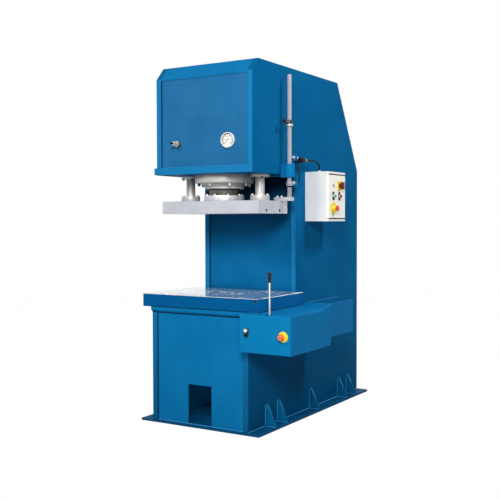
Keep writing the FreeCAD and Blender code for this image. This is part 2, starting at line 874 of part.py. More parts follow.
def make_stroke_rod():
    """Rod with the lower collar that marks the ram's raised position."""
    low = "lower_collar_low"
    high = "lower_collar_low + clamp_collar"
    profile = [("0", ARM_TOP), ("stroke_rod_r", ARM_TOP), ("stroke_rod_r", low), ("clamp_collar_r", low),
               ("clamp_collar_r", high), ("stroke_rod_r", high), ("stroke_rod_r", "stroke_rod_top"),
               ("0", "stroke_rod_top")]
    return node(turned("stroke_bar", profile, (ROD_X, "rod_y", "0")), "stroke_rod")


def make_rod_guide():
    """Round boss about the rod, on a web welded to the side plate."""
    length = "rod_guide_high - rod_guide_low"
    web = box("rod_guide_plate", ("half_width", "rod_y - rod_guide_web", "rod_guide_low"),
              (ROD_X, "rod_y + rod_guide_web", "rod_guide_high"))
    boss = cylinder("rod_guide_boss", (ROD_X, "rod_y", "rod_guide_low"), "rod_guide_r", length)
    bore = cylinder("rod_guide_bore", (ROD_X, "rod_y", "rod_guide_low"), ROD_HOLE, length)
    return node(cut("rod_guide_block", fused("rod_guide_solid", [web, boss]), bore), "rod_guide")


STOP_LOW = "(rod_guide_high + stroke + stop_rest)"
STOP_HIGH = f"({STOP_LOW} + stop_ring + clamp_collar)"
CLAMP_Z = f"({STOP_LOW} + stop_ring + clamp_collar / 2)"


def make_stop_collar():
    """Adjustable collar with its landing ring, tapped at the front for the clamp knob."""
    profile = [(ROD_HOLE, STOP_LOW), ("stop_ring_r", STOP_LOW), ("stop_ring_r", f"{STOP_LOW} + stop_ring"),
               ("clamp_collar_r", f"{STOP_LOW} + stop_ring"), ("clamp_collar_r", STOP_HIGH),
               (ROD_HOLE, STOP_HIGH)]
    ring = turned("stop_ring_turned", profile, (ROD_X, "rod_y", "0"))
    hole = cylinder("stop_tap", (ROD_X, "rod_y", CLAMP_Z), "clamp_stem_r + pin_gap", "clamp_collar_r + 2",
                    FACING_FRONT)
    return node(cut("stop_collar_tapped", ring, hole), "stop_collar")


def make_clamp_knob():
    start = "stroke_rod_r + 2 * running_gap"
    outer = "(clamp_collar_r + clamp_stem)"
    profile = [("0", start), ("clamp_stem_r", start), ("clamp_stem_r", outer), ("clamp_knob_r", outer),
               ("clamp_knob_r", f"{outer} + clamp_knob - 3"), ("clamp_knob_r - 3", f"{outer} + clamp_knob"),
               ("0", f"{outer} + clamp_knob")]
    return node(turned("clamp_screw", profile, (ROD_X, "rod_y", CLAMP_Z), FACING_FRONT), "clamp_knob")


SENSOR_FRONT = "(rod_y + clamp_collar_r + sensor_gap)"


def make_sensor_bracket():
    """A folded angle on the side plate for each sensor, with the hole that it is clamped in."""
    outline = [("half_width", "bracket_y"), (f"{ROD_X} + bracket_side", "bracket_y"),
               (f"{ROD_X} + bracket_side", "bracket_y + bracket_sheet"),
               ("half_width + bracket_sheet", "bracket_y + bracket_sheet"),
               ("half_width + bracket_sheet", "bracket_y + bracket_foot"),
               ("half_width", "bracket_y + bracket_foot")]
    angles = []
    for level in ("lower", "upper"):
        at = ("0", "0", f"sensor_{level}_z - bracket_rise")
        angle = plate(f"sensor_angle_{level}", "XY", outline, "2 * bracket_rise", at)
        hole = new_sketch(angle, "XZ")
        bind(hole, "AttachmentOffset.Base.z", "-bracket_y - bracket_sheet")
        add_circle(hole, (ROD_X, "bracket_rise"), "sensor_r + running_gap")
        pocket(angle, hole, "bracket_sheet", backwards=True)
        angles.append(angle)
    return node(group("sensor_angles", angles), "sensor_bracket")


def make_sensors():
    """Two threaded proximity sensors, each clamped to the bracket between two nuts."""
    both = []
    nut_front = "bracket_y - sensor_nut"
    nut_back = "bracket_y + bracket_sheet"
    for level in ("lower", "upper"):
        z = f"sensor_{level}_z"
        barrel = cylinder(f"sensor_barrel_{level}", (ROD_X, SENSOR_FRONT, z), "sensor_r",
                          f"sensor_{level}_length", FACING_BACK)
        parts = [barrel]
        for y in (nut_front, nut_back):
            nut = doc.addObject("Part::Prism", "sensor_nut")
            nut.Polygon = 6
            bind(nut, "Circumradius", "sensor_nut_r")
            bind(nut, "Height", "sensor_nut")
            parts.append(placed(nut, (ROD_X, y, z), FACING_BACK))
        both.append(fused(f"sensor_{level}", parts))
    return node(group("sensor_pair", both), "sensors")


def rounded_path(points, reaches=None):
    """Straight runs joined by tangent arcs, as large as the runs allow unless a reach is given."""
    points = [FreeCAD.Vector(*p) for p in points]
    edges = []
    radii = []
    start = points[0]
    for i, corner in enumerate(points[1:-1]):
        before = points[i]
        after = points[i + 2]
        incoming = (corner - before).normalize()
        outgoing = (after - corner).normalize()
        half_turn = incoming.getAngle(outgoing) / 2
        reach = reaches[i] if reaches else 0.45 * min((corner - before).Length, (after - corner).Length)
        radius = reach / math.tan(half_turn)
        enter = corner - incoming * reach
        leave = corner + outgoing * reach
        inwards = (outgoing - incoming).normalize()
        middle = corner + inwards * (radius / math.cos(half_turn) - radius)
        edges.append(Part.LineSegment(start, enter).toShape())
        edges.append(Part.Arc(enter, middle, leave).toShape())
        radii.append(round(radius, 1))
        start = leave
    edges.append(Part.LineSegment(start, points[-1]).toShape())
    return Part.Wire(edges), radii


TUBE_SIDES = 8


def tube(name, points, radius, reaches=None):
    """A faceted cable or pipe along a rounded path; its volume is compared with section times length."""
    path, radii = rounded_path(points, reaches)
    start = FreeCAD.Vector(*points[0])
    heading = (FreeCAD.Vector(*points[1]) - start).normalize()
    across = heading.cross(FreeCAD.Vector(1, 0, 0)).normalize()
    up = heading.cross(across)
    corners = []
    for i in range(TUBE_SIDES):
        angle = 2 * math.pi * (i + 0.5) / TUBE_SIDES
        corners.append(start + across * (radius * math.cos(angle)) + up * (radius * math.sin(angle)))
    ring = Part.makePolygon(corners + corners[:1])
    section = Part.Face(ring).Area
    shell = Part.BRepOffsetAPI.MakePipeShell(path)
    shell.add(ring)
    shell.build()
    shell.makeSolid()
    thing = doc.addObject("Part::Feature", name)
    thing.Shape = shell.shape()
    ratio = thing.Shape.Volume / (section * path.Length)
    print(f"{name}: length {path.Length:.0f}, radii {radii}, volume ratio {ratio:.3f}")
    return thing


def make_sensor_cables():
    """Lead of each sensor, from its back end into the junction's front face."""
    x = value(ROD_X)
    back = value(f"{SENSOR_FRONT} + sensor_lower_length")
    low = value("sensor_lower_z")
    front = value("junction_front")
    end = value("junction_z") - 7
    lower = [(x, back, low), (x, back + 20, low + 1), (x, back + 36, low + 18), (x, back + 36, low + 51),
             (x, back + 27, low + 87), (x, front - 33, end - 39), (x, front - 31, end - 20),
             (x, front - 22, end - 6), (x, front - 11, end), (x, front, end)]
    back = value(f"{SENSOR_FRONT} + sensor_upper_length")
    high = value("sensor_upper_z")
    end = value("junction_z") + 7
    upper = [(x, back, high), (x, back + 10, high), (x, front - 10, end), (x, front, end)]
    radius = value("cable_r")
    leads = [tube("lower_lead", lower, radius), tube("upper_lead", upper, radius)]
    return node(group("sensor_leads", leads), "sensor_cables")


JUNCTION_BACK = "(junction_front + junction_length)"


def make_cable_junction():
    """Cable coupler in its clip on the side plate, with the conduit nut at its back end."""
    at = (ROD_X, "junction_front", "junction_z")
    body = cylinder("junction_body", at, "junction_r", "junction_length", FACING_BACK)
    nut = doc.addObject("Part::Prism", "junction_nut_prism")
    nut.Polygon = 6
    bind(nut, "Circumradius", "junction_nut_r")
    bind(nut, "Height", "junction_nut")
    placed(nut, (ROD_X, JUNCTION_BACK, "junction_z"), FACING_BACK)
    middle = "junction_front + junction_length / 2"
    reach = "junction_r + clip_wall"
    low = ("half_width", f"{middle} - clip_width / 2", f"junction_z - ({reach})")
    high = (f"{ROD_X} + junction_r / 2", f"{middle} + clip_width / 2", f"junction_z + {reach}")
    clip = box("junction_clip", low, high)
    return node(fused("junction_with_clip", [body, nut, clip]), "cable_junction")


def make_conduit():
    """Hose from the junction's nut, level at first, then over and down into the gland on the box."""
    x = value(ROD_X)
    start = value(f"{JUNCTION_BACK} + junction_nut")
    z = value("junction_z")
    end = value("box_gland_y")
    gland = value("box_high + box_gland")
    points = [(x, start, z), (x, start + 45, z), (x, start + 102, z + 7), (x, end - 46, gland + 61),
              (x, end - 15, gland + 47), (x, end, gland + 25), (x, end, gland)]
    return node(tube("conduit_hose", points, value("conduit_r")), "control_conduit")


# ---- gauge and relief valve ------------------------------------------------------------------

GAUGE_AT = ("gauge_x", PANEL_FACE, "gauge_z")


def make_gauge():
    """Case, dial, needle and glass; local heights run out of the panel."""
    inside = "(gauge_proud - gauge_glass - 8)"
    case_profile = [("0", "-gauge_depth"), ("gauge_body_r", "-gauge_depth"), ("gauge_body_r", "0"),
                    ("gauge_r", "0"), ("gauge_r", "gauge_proud"), ("gauge_r - gauge_rim", "gauge_proud"),
                    ("gauge_r - gauge_rim", inside), ("0", inside)]
    node(turned("gauge_case", case_profile, GAUGE_AT, FACING_FRONT), "gauge_case")
    dial_profile = [("0", inside), ("gauge_r - gauge_rim - running_gap", inside),
                    ("gauge_r - gauge_rim - running_gap", f"{inside} + dial_sheet"),
                    ("0", f"{inside} + dial_sheet")]
    node(turned("dial_disc", dial_profile, GAUGE_AT, FACING_FRONT), "gauge_dial")
    low = "gauge_proud - gauge_glass - 1"
    high = f"{low} + gauge_glass"
    glass_profile = [("0", low), ("gauge_r - gauge_rim", low), ("gauge_r - gauge_rim", high), ("0", high)]
    node(turned("glass_disc", glass_profile, GAUGE_AT, FACING_FRONT), "gauge_glass")
    face = f"{inside} + dial_sheet + running_gap"
    hub_at = ("gauge_x", f"{PANEL_FACE} - ({face})", "gauge_z")
    hub = cylinder("needle_hub", hub_at, "3.5", "3", FACING_FRONT)
    blade = new_body("needle_blade")
    outline = new_sketch(blade, "XZ")
    add_polygon(outline, [("-2", "-needle_tail"), ("2", "-needle_tail"), ("0.5", "needle_length"),
                          ("-0.5", "needle_length")])
    pad(blade, outline, "1.2")
    placed(blade, ("gauge_x", f"{PANEL_FACE} - ({face}) - 1", "gauge_z"), ((0, 1, 0), -135))
    return node(fused("needle", [hub, blade]), "gauge_needle")


def make_relief_valve():
    """Valve body with its lock nut and neck, and the adjusting screw with its collar and knob."""
    neck_end = "(relief_length + relief_neck)"
    nut_foot = "relief_length - relief_nut"
    at = ("relief_x", PANEL_FACE, "relief_z")
    bore = "relief_stem_r + pin_gap"
    body_profile = [("0", "0"), ("relief_foot_r", "0"), ("relief_foot_r", "relief_foot"),
                    ("relief_r", "relief_foot"), ("relief_r", nut_foot), ("relief_nut_r", nut_foot),
                    ("relief_nut_r", "relief_length"), ("relief_neck_r", "relief_length"),
                    ("relief_neck_r", neck_end), (bore, neck_end), (bore, f"{neck_end} - relief_stem - 1"),
                    ("0", f"{neck_end} - relief_stem - 1")]
    node(turned("relief_body", body_profile, at, FACING_FRONT), "relief_valve")
    start = f"{neck_end} - relief_stem"
    face = f"({neck_end} + running_gap)"
    collar = f"({face} + relief_collar)"
    screw_profile = [("0", start), ("relief_stem_r", start), ("relief_stem_r", face),
                     ("relief_collar_r", face), ("relief_collar_r", collar), ("relief_knob_r", collar),
                     ("relief_knob_r", f"{collar} + relief_knob"), ("0", f"{collar} + relief_knob")]
    return node(turned("relief_screw", screw_profile, at, FACING_FRONT), "relief_knob")


# ---- side console ----------------------------------------------------------------------------

CONSOLE_OUT = "(half_width + console_width)"
CONSOLE_FACE = "(-console_reach)"
LEVER_X = "(half_width + lever_reach)"
TWIN_X = "(half_width + twin_reach)"
STOP_X = f"({CONSOLE_OUT} - stop_inset)"


def make_console():
    """Folded sheet housing, open against the side plate, with the lever slot and a raised outer guard."""
    outline = [(CONSOLE_FACE, "console_low"), ("console_step", "console_low"),
               ("console_step", "console_rear_low"), ("console_back", "console_rear_low"),
               ("console_back", TABLE_UNDERSIDE), (CONSOLE_FACE, TABLE_UNDERSIDE)]
    shell = plate("console_shell", "YZ", outline, "console_width", ("half_width", "0", "0"))
    face = value(CONSOLE_FACE)
    outer = value("console_width")

    def outer_front(edge):
        box_ = edge.BoundBox
        at_front = abs(box_.YMin - face) < 0.1 and abs(box_.YMax - face) < 0.1
        at_side = abs(box_.XMin - outer) < 0.1
        return at_front and (at_side or box_.XLength > outer - 1)

    soften(shell, "Fillet", "console_edge", outer_front)
    inner = [(f"{CONSOLE_FACE} + console_sheet", "console_low + console_sheet"),
             ("console_step - console_sheet", "console_low + console_sheet"),
             ("console_step - console_sheet", "console_rear_low + console_sheet"),
             ("console_back - console_sheet", "console_rear_low + console_sheet"),
             ("console_back - console_sheet", f"{TABLE_UNDERSIDE} - console_sheet"),
             (f"{CONSOLE_FACE} + console_sheet", f"{TABLE_UNDERSIDE} - console_sheet")]
    hollow = new_sketch(shell, "YZ")
    add_polygon(hollow, inner)
    pocket(shell, hollow, "console_width - console_sheet", backwards=True)
    slot = new_sketch(shell, "XY")
    bind(slot, "AttachmentOffset.Base.z", TABLE_UNDERSIDE)
    low = ("lever_reach - slot_width / 2", "lever_y - slot_length / 2")
    high = ("lever_reach + slot_width / 2", "lever_y + slot_length / 2")
    add_polygon(slot, rectangle(low, high))
    pocket(shell, slot, "console_sheet")
    hood_x = f"({CONSOLE_OUT} - hood_wall)"
    hood_top = f"{TABLE_UNDERSIDE} + hood_rise"
    hood_line = [("hood_start", TABLE_UNDERSIDE), ("hood_start + hood_ramp", hood_top),
                 ("console_back", hood_top), ("console_back", TABLE_UNDERSIDE)]
    hood = plate("console_hood", "YZ", hood_line, "hood_wall", (hood_x, "0", "0"))
    notch = box("console_notch", ("half_width - 1", "-rest_lip", "arm_top"),
                ("half_width + rest_overhang", "column_front", f"{TABLE_UNDERSIDE} + 1"))
    whole = fused("console_whole", [shell, hood])
    return node(cut("console_notched", whole, notch), "console_housing")


def make_lever_valve():
    """Directional valve on the console floor, with the two ears and the pin that the lever turns on."""
    floor = "console_low + console_sheet"
    half = "valve_width / 2"
    hub_half = "(lever_hub / 2 + running_gap)"
    back = "lever_y + valve_length - valve_front"
    pieces = [box("valve_body", (f"{LEVER_X} - {half}", "lever_y - valve_front", floor),
                  (f"{LEVER_X} + {half}", back, "valve_top"))]
    for sign, name in (("-", "left"), ("+", "right")):
        inner = f"{LEVER_X} {sign} {hub_half}"
        outer = f"{LEVER_X} {sign} ({hub_half} + lever_ear)"
        low_x, high_x = (outer, inner) if sign == "-" else (inner, outer)
        pieces.append(box(f"ear_{name}", (low_x, "lever_y - lever_hub_r", "valve_top"),
                          (high_x, "lever_y + lever_hub_r", "lever_pivot + lever_hub_r")))
    pin_at = (f"{LEVER_X} - {hub_half} - lever_ear", "lever_y", "lever_pivot")
    pin_length = f"2 * ({hub_half} + lever_ear)"
    pieces.append(cylinder("lever_pin", pin_at, "lever_pin_r", pin_length, FACING_RIGHT))
    return node(fused("valve_with_ears", pieces), "lever_valve")


def make_hand_lever():
    """Steel rod with the hub at its foot."""
    at = (f"{LEVER_X} - lever_hub / 2", "lever_y", "lever_pivot")
    hub = cylinder("lever_hub_disc", at, "lever_hub_r", "lever_hub", FACING_RIGHT)
    rod = cylinder("lever_rod", (LEVER_X, "lever_y", "lever_pivot"), "lever_r",
                   "lever_top - grip_length - lever_pivot")
    bore = cylinder("lever_bore", at, "lever_pin_r + pin_gap", "lever_hub", FACING_RIGHT)
    return node(cut("lever_bored", fused("lever_solid", [hub, rod]), bore), "hand_lever")


def make_lever_grip():
    length = "grip_length"
    profile = [("0", "0"), ("grip_r - 2", "0"), ("grip_r", f"{length} - 6"), ("grip_r - 5", length),
               ("0", length)]
    grip = turned("grip", profile, (LEVER_X, "lever_y", "lever_top - grip_length"))
    return node(grip, "lever_grip")


def make_mushroom_set(prefix, disc_r, at, turn):
    """Yellow disc with its neck, and the mushroom head that slides in it; heights run outwards."""
    bore = "mushroom_stem_r + running_gap"
    neck_top = "(disc_sheet + neck)"
    base_profile = [("0", "0"), (disc_r, "0"), (disc_r, "disc_sheet"), ("neck_r", "disc_sheet"),
                    ("neck_r", neck_top), (bore, neck_top), (bore, "disc_sheet"), ("0", "disc_sheet")]
    node(turned(f"{prefix}_base_turned", base_profile, at, turn), f"{prefix}_base")
    head = f"({neck_top} + mushroom_travel + running_gap)"
    head_profile = [("0", "disc_sheet + mushroom_travel + running_gap"),
                    ("mushroom_stem_r", "disc_sheet + mushroom_travel + running_gap"),
                    ("mushroom_stem_r", head), ("mushroom_r", head),
                    ("mushroom_r", f"{head} + mushroom * 0.6"), ("mushroom_r * 0.7", f"{head} + mushroom"),
                    ("0", f"{head} + mushroom")]
    node(turned(f"{prefix}_head", head_profile, at, turn), f"{prefix}_button")


def make_twin_unit():
    """Double control on the console front: a push button above a small selector."""
    low = (f"{TWIN_X} - twin_width / 2", "twin_z - twin_height / 2")
    high = (f"{TWIN_X} + twin_width / 2", "twin_z + twin_height / 2")
    frame = plate("twin_frame", "XZ", rectangle(low, high), "twin_plate", ("0", CONSOLE_FACE, "0"))
    tall = value("twin_plate")
    soften(frame, "Fillet", "twin_width / 2 - 1", lambda e: abs(e.BoundBox.YLength - tall) < 0.1)
    upper = "twin_z + twin_pitch / 2"
    lower = "twin_z - twin_pitch / 2"
    holes = new_sketch(frame, "XZ")
    bind(holes, "AttachmentOffset.Base.z", "twin_plate")
    for z in (upper, lower):
        add_circle(holes, (TWIN_X, z), "button_r + running_gap")
    pocket(frame, holes, "twin_plate - 1")
    node(frame, "twin_bezel")
    push_at = (TWIN_X, f"{CONSOLE_FACE} - 1 - button_travel - running_gap", upper)
    push_profile = [("0", "0"), ("button_r", "0"), ("button_r", "button_proud"), ("0", "button_proud")]
    node(turned("console_push", push_profile, push_at, FACING_FRONT), "console_push_button")
    turn_at = (TWIN_X, f"{CONSOLE_FACE} - 1 - running_gap", lower)
    hub = cylinder("selector_hub", turn_at, "button_r", "twin_plate + 2", FACING_FRONT)
    bar_front = f"{CONSOLE_FACE} - twin_plate - selector_proud"
    bar_back = f"{CONSOLE_FACE} - twin_plate - selector_sink"
    bar_low = (f"{TWIN_X} - selector_bar / 2", bar_front, f"{lower} - button_r + 1")
    bar_high = (f"{TWIN_X} + selector_bar / 2", bar_back, f"{lower} + button_r - 1")
    return node(fused("selector", [hub, box("selector_bar", bar_low, bar_high)]), "console_selector")


# ---- control box -----------------------------------------------------------------------------

BOX_OUT = "(half_width + box_depth)"
BOX_BACK = "(box_front + box_width)"
DOOR_IN = f"({BOX_OUT} - door_depth)"
DOOR_LOW = "(box_low + box_lip + door_gap / 2)"
DOOR_HIGH = "(box_high - box_lip - door_gap / 2)"
HINGE_AT = (DOOR_IN, f"{BOX_BACK} + hinge_r + 1")


def rounded_box(name, low, high):
    """A box whose two outer upright edges are rounded."""
    x0, y0, z0 = low
    x1, y1, z1 = high
    body = plate(name, "XY", [(x0, y0), (x1, y0), (x1, y1), (x0, y1)], f"({z1}) - ({z0})", ("0", "0", z0))
    far = value(x1)
    soften(body, "Fillet", "box_edge", lambda e: e.BoundBox.XMin > far - 1 and e.BoundBox.ZLength > 20)
    return body


def knuckles(name, low_half):
    """Hinge knuckles with the web that carries them; the lower halves hold the pins."""
    x, y = HINGE_AT
    pieces = []
    for i, middle in enumerate((f"({DOOR_LOW} + hinge_inset)", f"({DOOR_HIGH} - hinge_inset)")):
        start = f"{middle} - hinge_half" if low_half else f"{middle} + door_seat"
        length = "hinge_half" if low_half else "hinge_half - door_seat"
        barrel = cylinder(f"{name}_{i}", (x, y, start), "hinge_r", length)
        x0, x1 = (f"{x} - 8", f"{x} - door_seat") if low_half else (f"{x} + door_seat", f"{x} + 8")
        web = box(f"{name}_web_{i}", (x0, f"{BOX_BACK} - 1", start), (x1, y, f"{start} + {length}"))
        if low_half:
            pin = cylinder(f"{name}_pin_{i}", (x, y, middle), "hinge_pin_r", "hinge_half")
            pieces.append(fused(f"{name}_set_{i}", [barrel, web, pin]))
        else:
            bore = cylinder(f"{name}_bore_{i}", (x, y, start), "hinge_pin_r + pin_gap", "hinge_half")
            pieces.append(cut(f"{name}_set_{i}", fused(f"{name}_solid_{i}", [barrel, web]), bore))
    return pieces


def make_control_box():
    """Sheet-steel box with the gland on top; the door closes the middle of its front."""
    outer = rounded_box("box_outer", ("half_width", "box_front", "box_low"), (BOX_OUT, BOX_BACK, "box_high"))
    inside = box("box_inside", ("half_width + box_sheet", "box_front + box_sheet", "box_low + box_sheet"),
                 (f"{BOX_OUT} - box_sheet", f"{BOX_BACK} - box_sheet", "box_high - box_sheet"))
    doorway = box("box_doorway", (f"{DOOR_IN} - door_seat", "box_front - 1", "box_low + box_lip"),
                  (f"{BOX_OUT} + 1", f"{BOX_BACK} + 1", "box_high - box_lip"))
    shell = cut("box_open", cut("box_shell", outer, inside), doorway)
    gland = cylinder("box_gland_body", (ROD_X, "box_gland_y", "box_high"), "box_gland_r", "box_gland")
    parts = [shell, gland] + knuckles("box_knuckle", low_half=True)
    return node(fused("box_whole", parts), "control_box")


def make_box_door():
    """Tray-shaped door, carried on the two rear hinges."""
    outer = rounded_box("door_outer", (DOOR_IN, "box_front", DOOR_LOW), (BOX_OUT, BOX_BACK, DOOR_HIGH))
    inside = box("door_inside", (f"{DOOR_IN} - 1", "box_front + box_sheet", f"{DOOR_LOW} + box_sheet"),
                 (f"{BOX_OUT} - box_sheet", f"{BOX_BACK} - box_sheet", f"{DOOR_HIGH} - box_sheet"))
    tray = cut("door_tray", outer, inside)
    return node(fused("door_whole", [tray] + knuckles("door_knuckle", low_half=False)), "box_door")


def make_switch():
    """Square plate of the main switch, and its turning handle."""
    half = "switch_plate / 2"
    low = (f"right_row_y - {half}", f"switch_z - {half}")
    high = (f"right_row_y + {half}", f"switch_z + {half}")
    square = plate("switch_square", "YZ", rectangle(low, high), "switch_sheet", (BOX_OUT, "0", "0"))
    thick = value("switch_sheet")
    soften(square, "Fillet", "5", lambda e: abs(e.BoundBox.XLength - thick) < 0.1)
    face = f"{BOX_OUT} + switch_sheet + running_gap"
    node(square, "main_switch_plate")
    hub = cylinder("switch_hub_disc", (face, "right_row_y", "switch_z"), "switch_hub_r", "switch_hub",
                   FACING_RIGHT)
    low = (f"{face} + switch_hub - 1", "right_row_y - switch_grip_width / 2", "switch_z - switch_grip / 2")
    high = (f"{face} + switch_hub + switch_grip_depth", "right_row_y + switch_grip_width / 2",
            "switch_z + switch_grip / 2")
    return node(fused("switch_knob", [hub, box("switch_grip_bar", low, high)]), "main_switch_handle")


def make_box_buttons():
    """Legend plates with round bezels, and the two push buttons in them."""
    legends = []
    for side, name in (("left", "start"), ("right", "stop")):
        y = f"{side}_row_y"
        low = (f"{y} - legend_width / 2", "buttons_z - legend_height / 2")
        high = (f"{y} + legend_width / 2", "buttons_z + legend_height / 2")
        card = plate(f"legend_{name}", "YZ", rectangle(low, high), "legend_sheet", (BOX_OUT, "0", "0"))
        ring = cylinder(f"bezel_{name}", (BOX_OUT, y, "buttons_z"), "bezel_r", "legend_sheet + bezel",
                        FACING_RIGHT)
        bore = cylinder(f"bezel_bore_{name}", (f"{BOX_OUT} + 1", y, "buttons_z"), "button_r + running_gap",
                        "legend_sheet + bezel", FACING_RIGHT)
        legends.append(cut(f"legend_bored_{name}", fused(f"legend_solid_{name}", [card, ring]), bore))
        start = f"{BOX_OUT} + 1 + button_travel + running_gap"
        length = "legend_sheet + bezel - 1 - button_travel - running_gap + button_proud"
        profile = [("0", "0"), ("button_r", "0"), ("button_r", length), ("0", length)]
        node(turned(f"{name}_cap", profile, (start, y, "buttons_z"), FACING_RIGHT), f"{name}_button")
    return node(group("legend_pair", legends), "button_bezels")


def make_door_lock():
    at = (BOX_OUT, "left_row_y", "switch_z")
    profile = [("0", "0"), ("lock_r", "0"), ("lock_r", "lock_proud"), ("0", "lock_proud")]
    barrel = turned("lock_barrel", profile, (f"{BOX_OUT} + door_seat", at[1], at[2]), FACING_RIGHT)
    slit = box("lock_slit", (f"{BOX_OUT} + 2", "left_row_y - 1", "switch_z - lock_r * 0.6"),
               (f"{BOX_OUT} + lock_proud + 2", "left_row_y + 1", "switch_z + lock_r * 0.6"))
    return node(cut("lock_slotted", barrel, slit), "door_lock")


# ---- power pack inside the column ------------------------------------------------------------

TANK_HALF = f"({INNER_HALF} - tank_side_gap)"
TANK_FRONT = "(column_front + throat_recess + throat_plate + tank_throat_gap)"
TANK_BACK = f"({REAR_FACE} - tank_cover_gap)"
TANK_LOW = "(arm_top + tank_rise)"
TANK_HIGH = f"({TANK_LOW} + tank_height)"
MOTOR_Y = f"({TANK_BACK} - motor_inset)"
MANIFOLD_Y = f"({TANK_FRONT} + manifold_inset)"


def make_oil_tank():
    """Welded tank with its lid and the valve manifold, on two bearers between the side plates."""
    outer = box("tank_outer", (f"-{TANK_HALF}", TANK_FRONT, TANK_LOW), (TANK_HALF, TANK_BACK, TANK_HIGH))
    low = (f"tank_wall - {TANK_HALF}", f"{TANK_FRONT} + tank_wall", f"{TANK_LOW} + tank_wall")
    high = (f"{TANK_HALF} - tank_wall", f"{TANK_BACK} - tank_wall", f"{TANK_HIGH} - tank_wall")
    inner = box("tank_inner", low, high)
    hole_at = ("0", MOTOR_Y, f"{TANK_HIGH} - 2 * tank_wall")
    hole = cylinder("pump_hole", hole_at, "pump_r + 2", "3 * tank_wall")
    parts = [cut("tank_open", cut("tank_shell", outer, inner), hole)]
    for i, y in enumerate((f"{TANK_FRONT} + bearer", f"{TANK_BACK} - 2 * bearer")):
        parts.append(box(f"bearer_{i}", (f"-{INNER_HALF}", y, f"{TANK_LOW} - bearer"),
                         (INNER_HALF, f"{y} + bearer", TANK_LOW)))
    half = "manifold / 2"
    parts.append(box("manifold_block", (f"-{half}", f"{MANIFOLD_Y} - {half}", TANK_HIGH),
                     (half, f"{MANIFOLD_Y} + {half}", f"{TANK_HIGH} + manifold")))
    return node(fused("tank_whole", parts), "oil_tank")


def make_motor_pump():
    """Flanged motor on the tank lid with the pump hanging below it."""
    profile = [("0", "-pump_height"), ("pump_r", "-pump_height"), ("pump_r", "0"), ("motor_flange_r", "0"),
               ("motor_flange_r", "motor_flange"), ("motor_r", "motor_flange"), ("motor_r", "motor_height"),
               ("0", "motor_height")]
    return node(turned("motor", profile, ("0", MOTOR_Y, TANK_HIGH)), "motor_pump")


def make_pressure_pipe():
    """Steel pipe from the valve manifold up and over to the port in the cylinder's closed end."""
    low = value(f"{TANK_HIGH} + manifold")
    cap = value(f"{BARREL_INSIDE} + barrel_cap")
    high = cap + value("pipe_rise")
    back = value(MANIFOLD_Y)
    front = value("ram_axis")
    bend = value("pipe_bend")
    corners = [(0, back, low), (0, back, high), (0, front, high), (0, front, cap)]
    return node(tube("pipe", corners, value("pipe_r"), reaches=[bend, bend]), "pressure_pipe")


def build():
    make_base_plate()
    make_side_plate("left")
    make_side_plate("right")
    make_base_front_panel()
    make_rest_plate()
    make_table()
    make_throat_plate()
    make_head_front_panel()
    make_roof_plate()
    make_rear_panels()
    make_mount_plate()
    make_cylinder()
    make_gland()
    make_wiper()
    make_head_screws()
    make_guide_bushes()
    make_ram_plate()
    make_plunger()
    make_ram_flange()
    make_guide_columns()
    make_ram_screws()
    make_stroke_arm()
    make_stroke_rod()
    make_rod_guide()
    make_stop_collar()
    make_clamp_knob()
    make_sensor_bracket()
    make_sensors()
    make_sensor_cables()
    make_cable_junction()
    make_conduit()
    make_gauge()
    make_relief_valve()
    make_console()
    make_lever_valve()
    make_hand_lever()
    make_lever_grip()
    make_mushroom_set("console_stop", "stop_ring_disc_r", (STOP_X, CONSOLE_FACE, "stop_z"), FACING_FRONT)
    make_twin_unit()
    make_control_box()
    make_box_door()
    make_switch()
    make_box_buttons()
    make_mushroom_set("box_stop", "box_stop_disc_r", (BOX_OUT, "left_row_y", "box_stop_z"), FACING_RIGHT)
    make_door_lock()
    make_oil_tank()
    make_motor_pump()
    make_pressure_pipe()


def check():
    """Every object has to be sound before anything is written."""
    doc.recompute()
    for thing in doc.Objects:
        if {"Invalid", "Error"} & set(thing.State):
            raise ValueError(f"{thing.Label} failed: {thing.State}")
    for thing in nodes:
        if thing.Shape.isNull() or not thing.Shape.isValid() or not thing.Shape.Solids:
            raise ValueError(f"{thing.Label} has no sound shape")


def write():
    os.makedirs("parts", exist_ok=True)
    for thing in nodes:
        thing.Shape.exportStep(f"parts/{thing.Label}.step")
        print(f"{thing.Label}: {len(thing.Shape.Solids)} solid(s), {thing.Shape.Volume / 1000:.1f} cm3")
    print(len(nodes), "sub-parts")


build()
check()
write()
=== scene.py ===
import json
import math
import bmesh
import bpy
import numpy as np
from mathutils import Matrix, Vector

